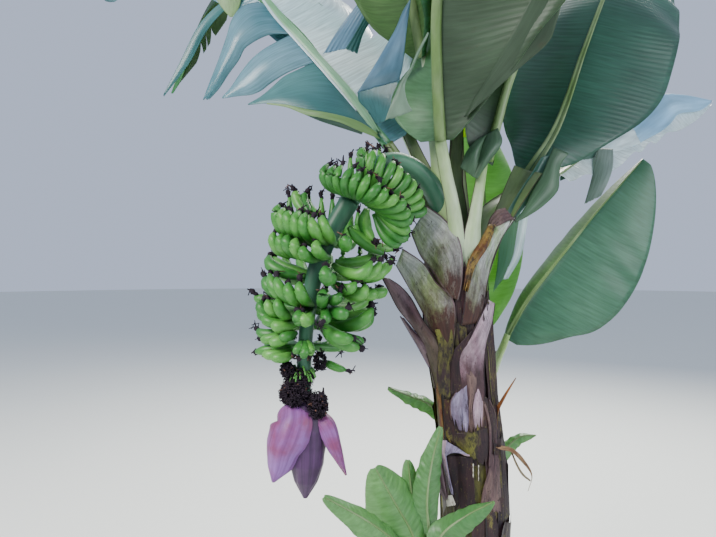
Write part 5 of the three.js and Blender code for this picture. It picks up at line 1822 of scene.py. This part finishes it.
# widths are shares of the half width from the root to the tip
BRACTS = {
    "bract_left": {
        "rib": [(-0.52, -0.165, 1.093), (-0.516, -0.205, 1.062), (-0.528, -0.222, 1.023),
                (-0.544, -0.22, 0.981), (-0.553, -0.208, 0.939), (-0.563, -0.195, 0.895)],
        "half": 0.124,
        "face": [(-0.15, -0.9, 0.4), (-0.2, -1.0, -0.1)],
        "droop": [(6, 6), (14, 14)],
        "widths": [0.6, 0.7, 0.79, 0.82, 0.79, 0.71, 0.61, 0.46, 0.04],
    },
    "bract_right": {
        "rib": [(-0.445, -0.165, 1.072), (-0.412, -0.185, 1.045), (-0.39, -0.19, 0.982),
                (-0.373, -0.172, 0.905)],
        "half": 0.044,
        "face": [(0.55, -0.75, 0.4), (0.7, -0.7, 0)],
        "droop": [(12, 12), (25, 25)],
        "widths": [0.8, 0.96, 1.0, 0.94, 0.84, 0.7, 0.5, 0.28, 0.03],
    },
}


def make_bract(name, bract):
    shape = Shape()
    curve = Curve(bract["rib"])
    rows, columns = np.linspace(0, 1, BRACT_ROWS), np.linspace(-1, 1, BRACT_COLUMNS)
    t, s = np.meshgrid(rows, columns, indexing="ij")
    centre, right, up = curve.frame(t, blend(bract["face"], t))
    half = bract["half"] * blend(bract["widths"], t)
    angle = np.radians(blend(bract["droop"], t)[..., 0] + BRACT_CURL * np.abs(s))
    groove = BRACT_GROOVE * np.sin(s * 60) * smooth(1 - np.abs(s), 0, 0.2)
    drop = -np.abs(s) * half * np.sin(angle) + groove
    points = centre + right * (s * half * np.cos(angle))[..., None] + up * drop[..., None]
    uv = np.stack([t * curve.length, s * 0.07], axis=-1)
    shape.grid(points, 0, uv)
    shape.piece(name + "_skin", [BRACT_INNER, BRACT], "bract", [name], BRACT_THICKNESS)


for bract_name, bract_shape in BRACTS.items():
    make_bract(bract_name, bract_shape)


# Stage: a pale floor, soft light and the photograph's camera


FLOOR_SIDES, FLOOR_RADIUS, FLOOR_PLACE = 96, 40, (0, 0, -0.001)
SKY_STRENGTH = 0.8


def make_stage():
    bpy.ops.mesh.primitive_circle_add(
        vertices=FLOOR_SIDES, radius=FLOOR_RADIUS, fill_type="NGON", location=FLOOR_PLACE
    )
    floor = bpy.context.object
    floor.name = "floor"
    n = Nodes("floor")
    n.shader.inputs["Base Color"].default_value = colour(226, 228, 222)
    n.gloss(0.9, 0.1)
    floor.data.materials.append(n.material)


def area_light(name, place, target, size, power, tint):
    data = bpy.data.lights.new(name, "AREA")
    data.shape = "DISK"
    data.size = size
    data.energy = power
    data.color = tint
    lamp = bpy.data.objects.new(name, data)
    lamp.location = place
    way = np.array(target) - np.array(place)
    flat = math.hypot(way[0], way[1])
    pitch = math.pi / 2 + math.atan2(way[2], flat)
    lamp.rotation_euler = (pitch, 0, math.atan2(way[1], way[0]) - math.pi / 2)
    bpy.context.scene.collection.objects.link(lamp)


# Place, target, size, power and tint
LAMPS = {
    "key": ((-3.2, -3.0, 4.4), (-0.3, 0, 1.6), 2.6, 420, (1, 0.97, 0.92)),
    "back": ((1.8, 3.4, 5.2), (0, 0, 2.2), 3.0, 620, (1, 0.98, 0.9)),
    "side": ((3.6, -2.2, 2.6), (0, 0, 1.5), 2.4, 120, (0.92, 0.96, 1)),
}


def make_light():
    world = bpy.data.worlds.new("studio")
    world.use_nodes = True
    background = world.node_tree.nodes["Background"]
    background.inputs["Color"].default_value = colour(212, 226, 254)
    background.inputs["Strength"].default_value = SKY_STRENGTH
    bpy.context.scene.world = world
    for name, lamp in LAMPS.items():
        area_light(name, *lamp)


def make_camera():
    data = bpy.data.cameras.new("camera")
    data.sensor_width = SENSOR
    data.lens = SENSOR * FOCAL_PIXELS / PHOTO_WIDTH
    camera = bpy.data.objects.new("camera", data)
    camera.location = CAMERA_PLACE
    camera.rotation_euler = (math.pi / 2, 0, 0)
    bpy.context.scene.collection.objects.link(camera)
    bpy.context.scene.camera = camera


make_stage()
make_light()
make_camera()
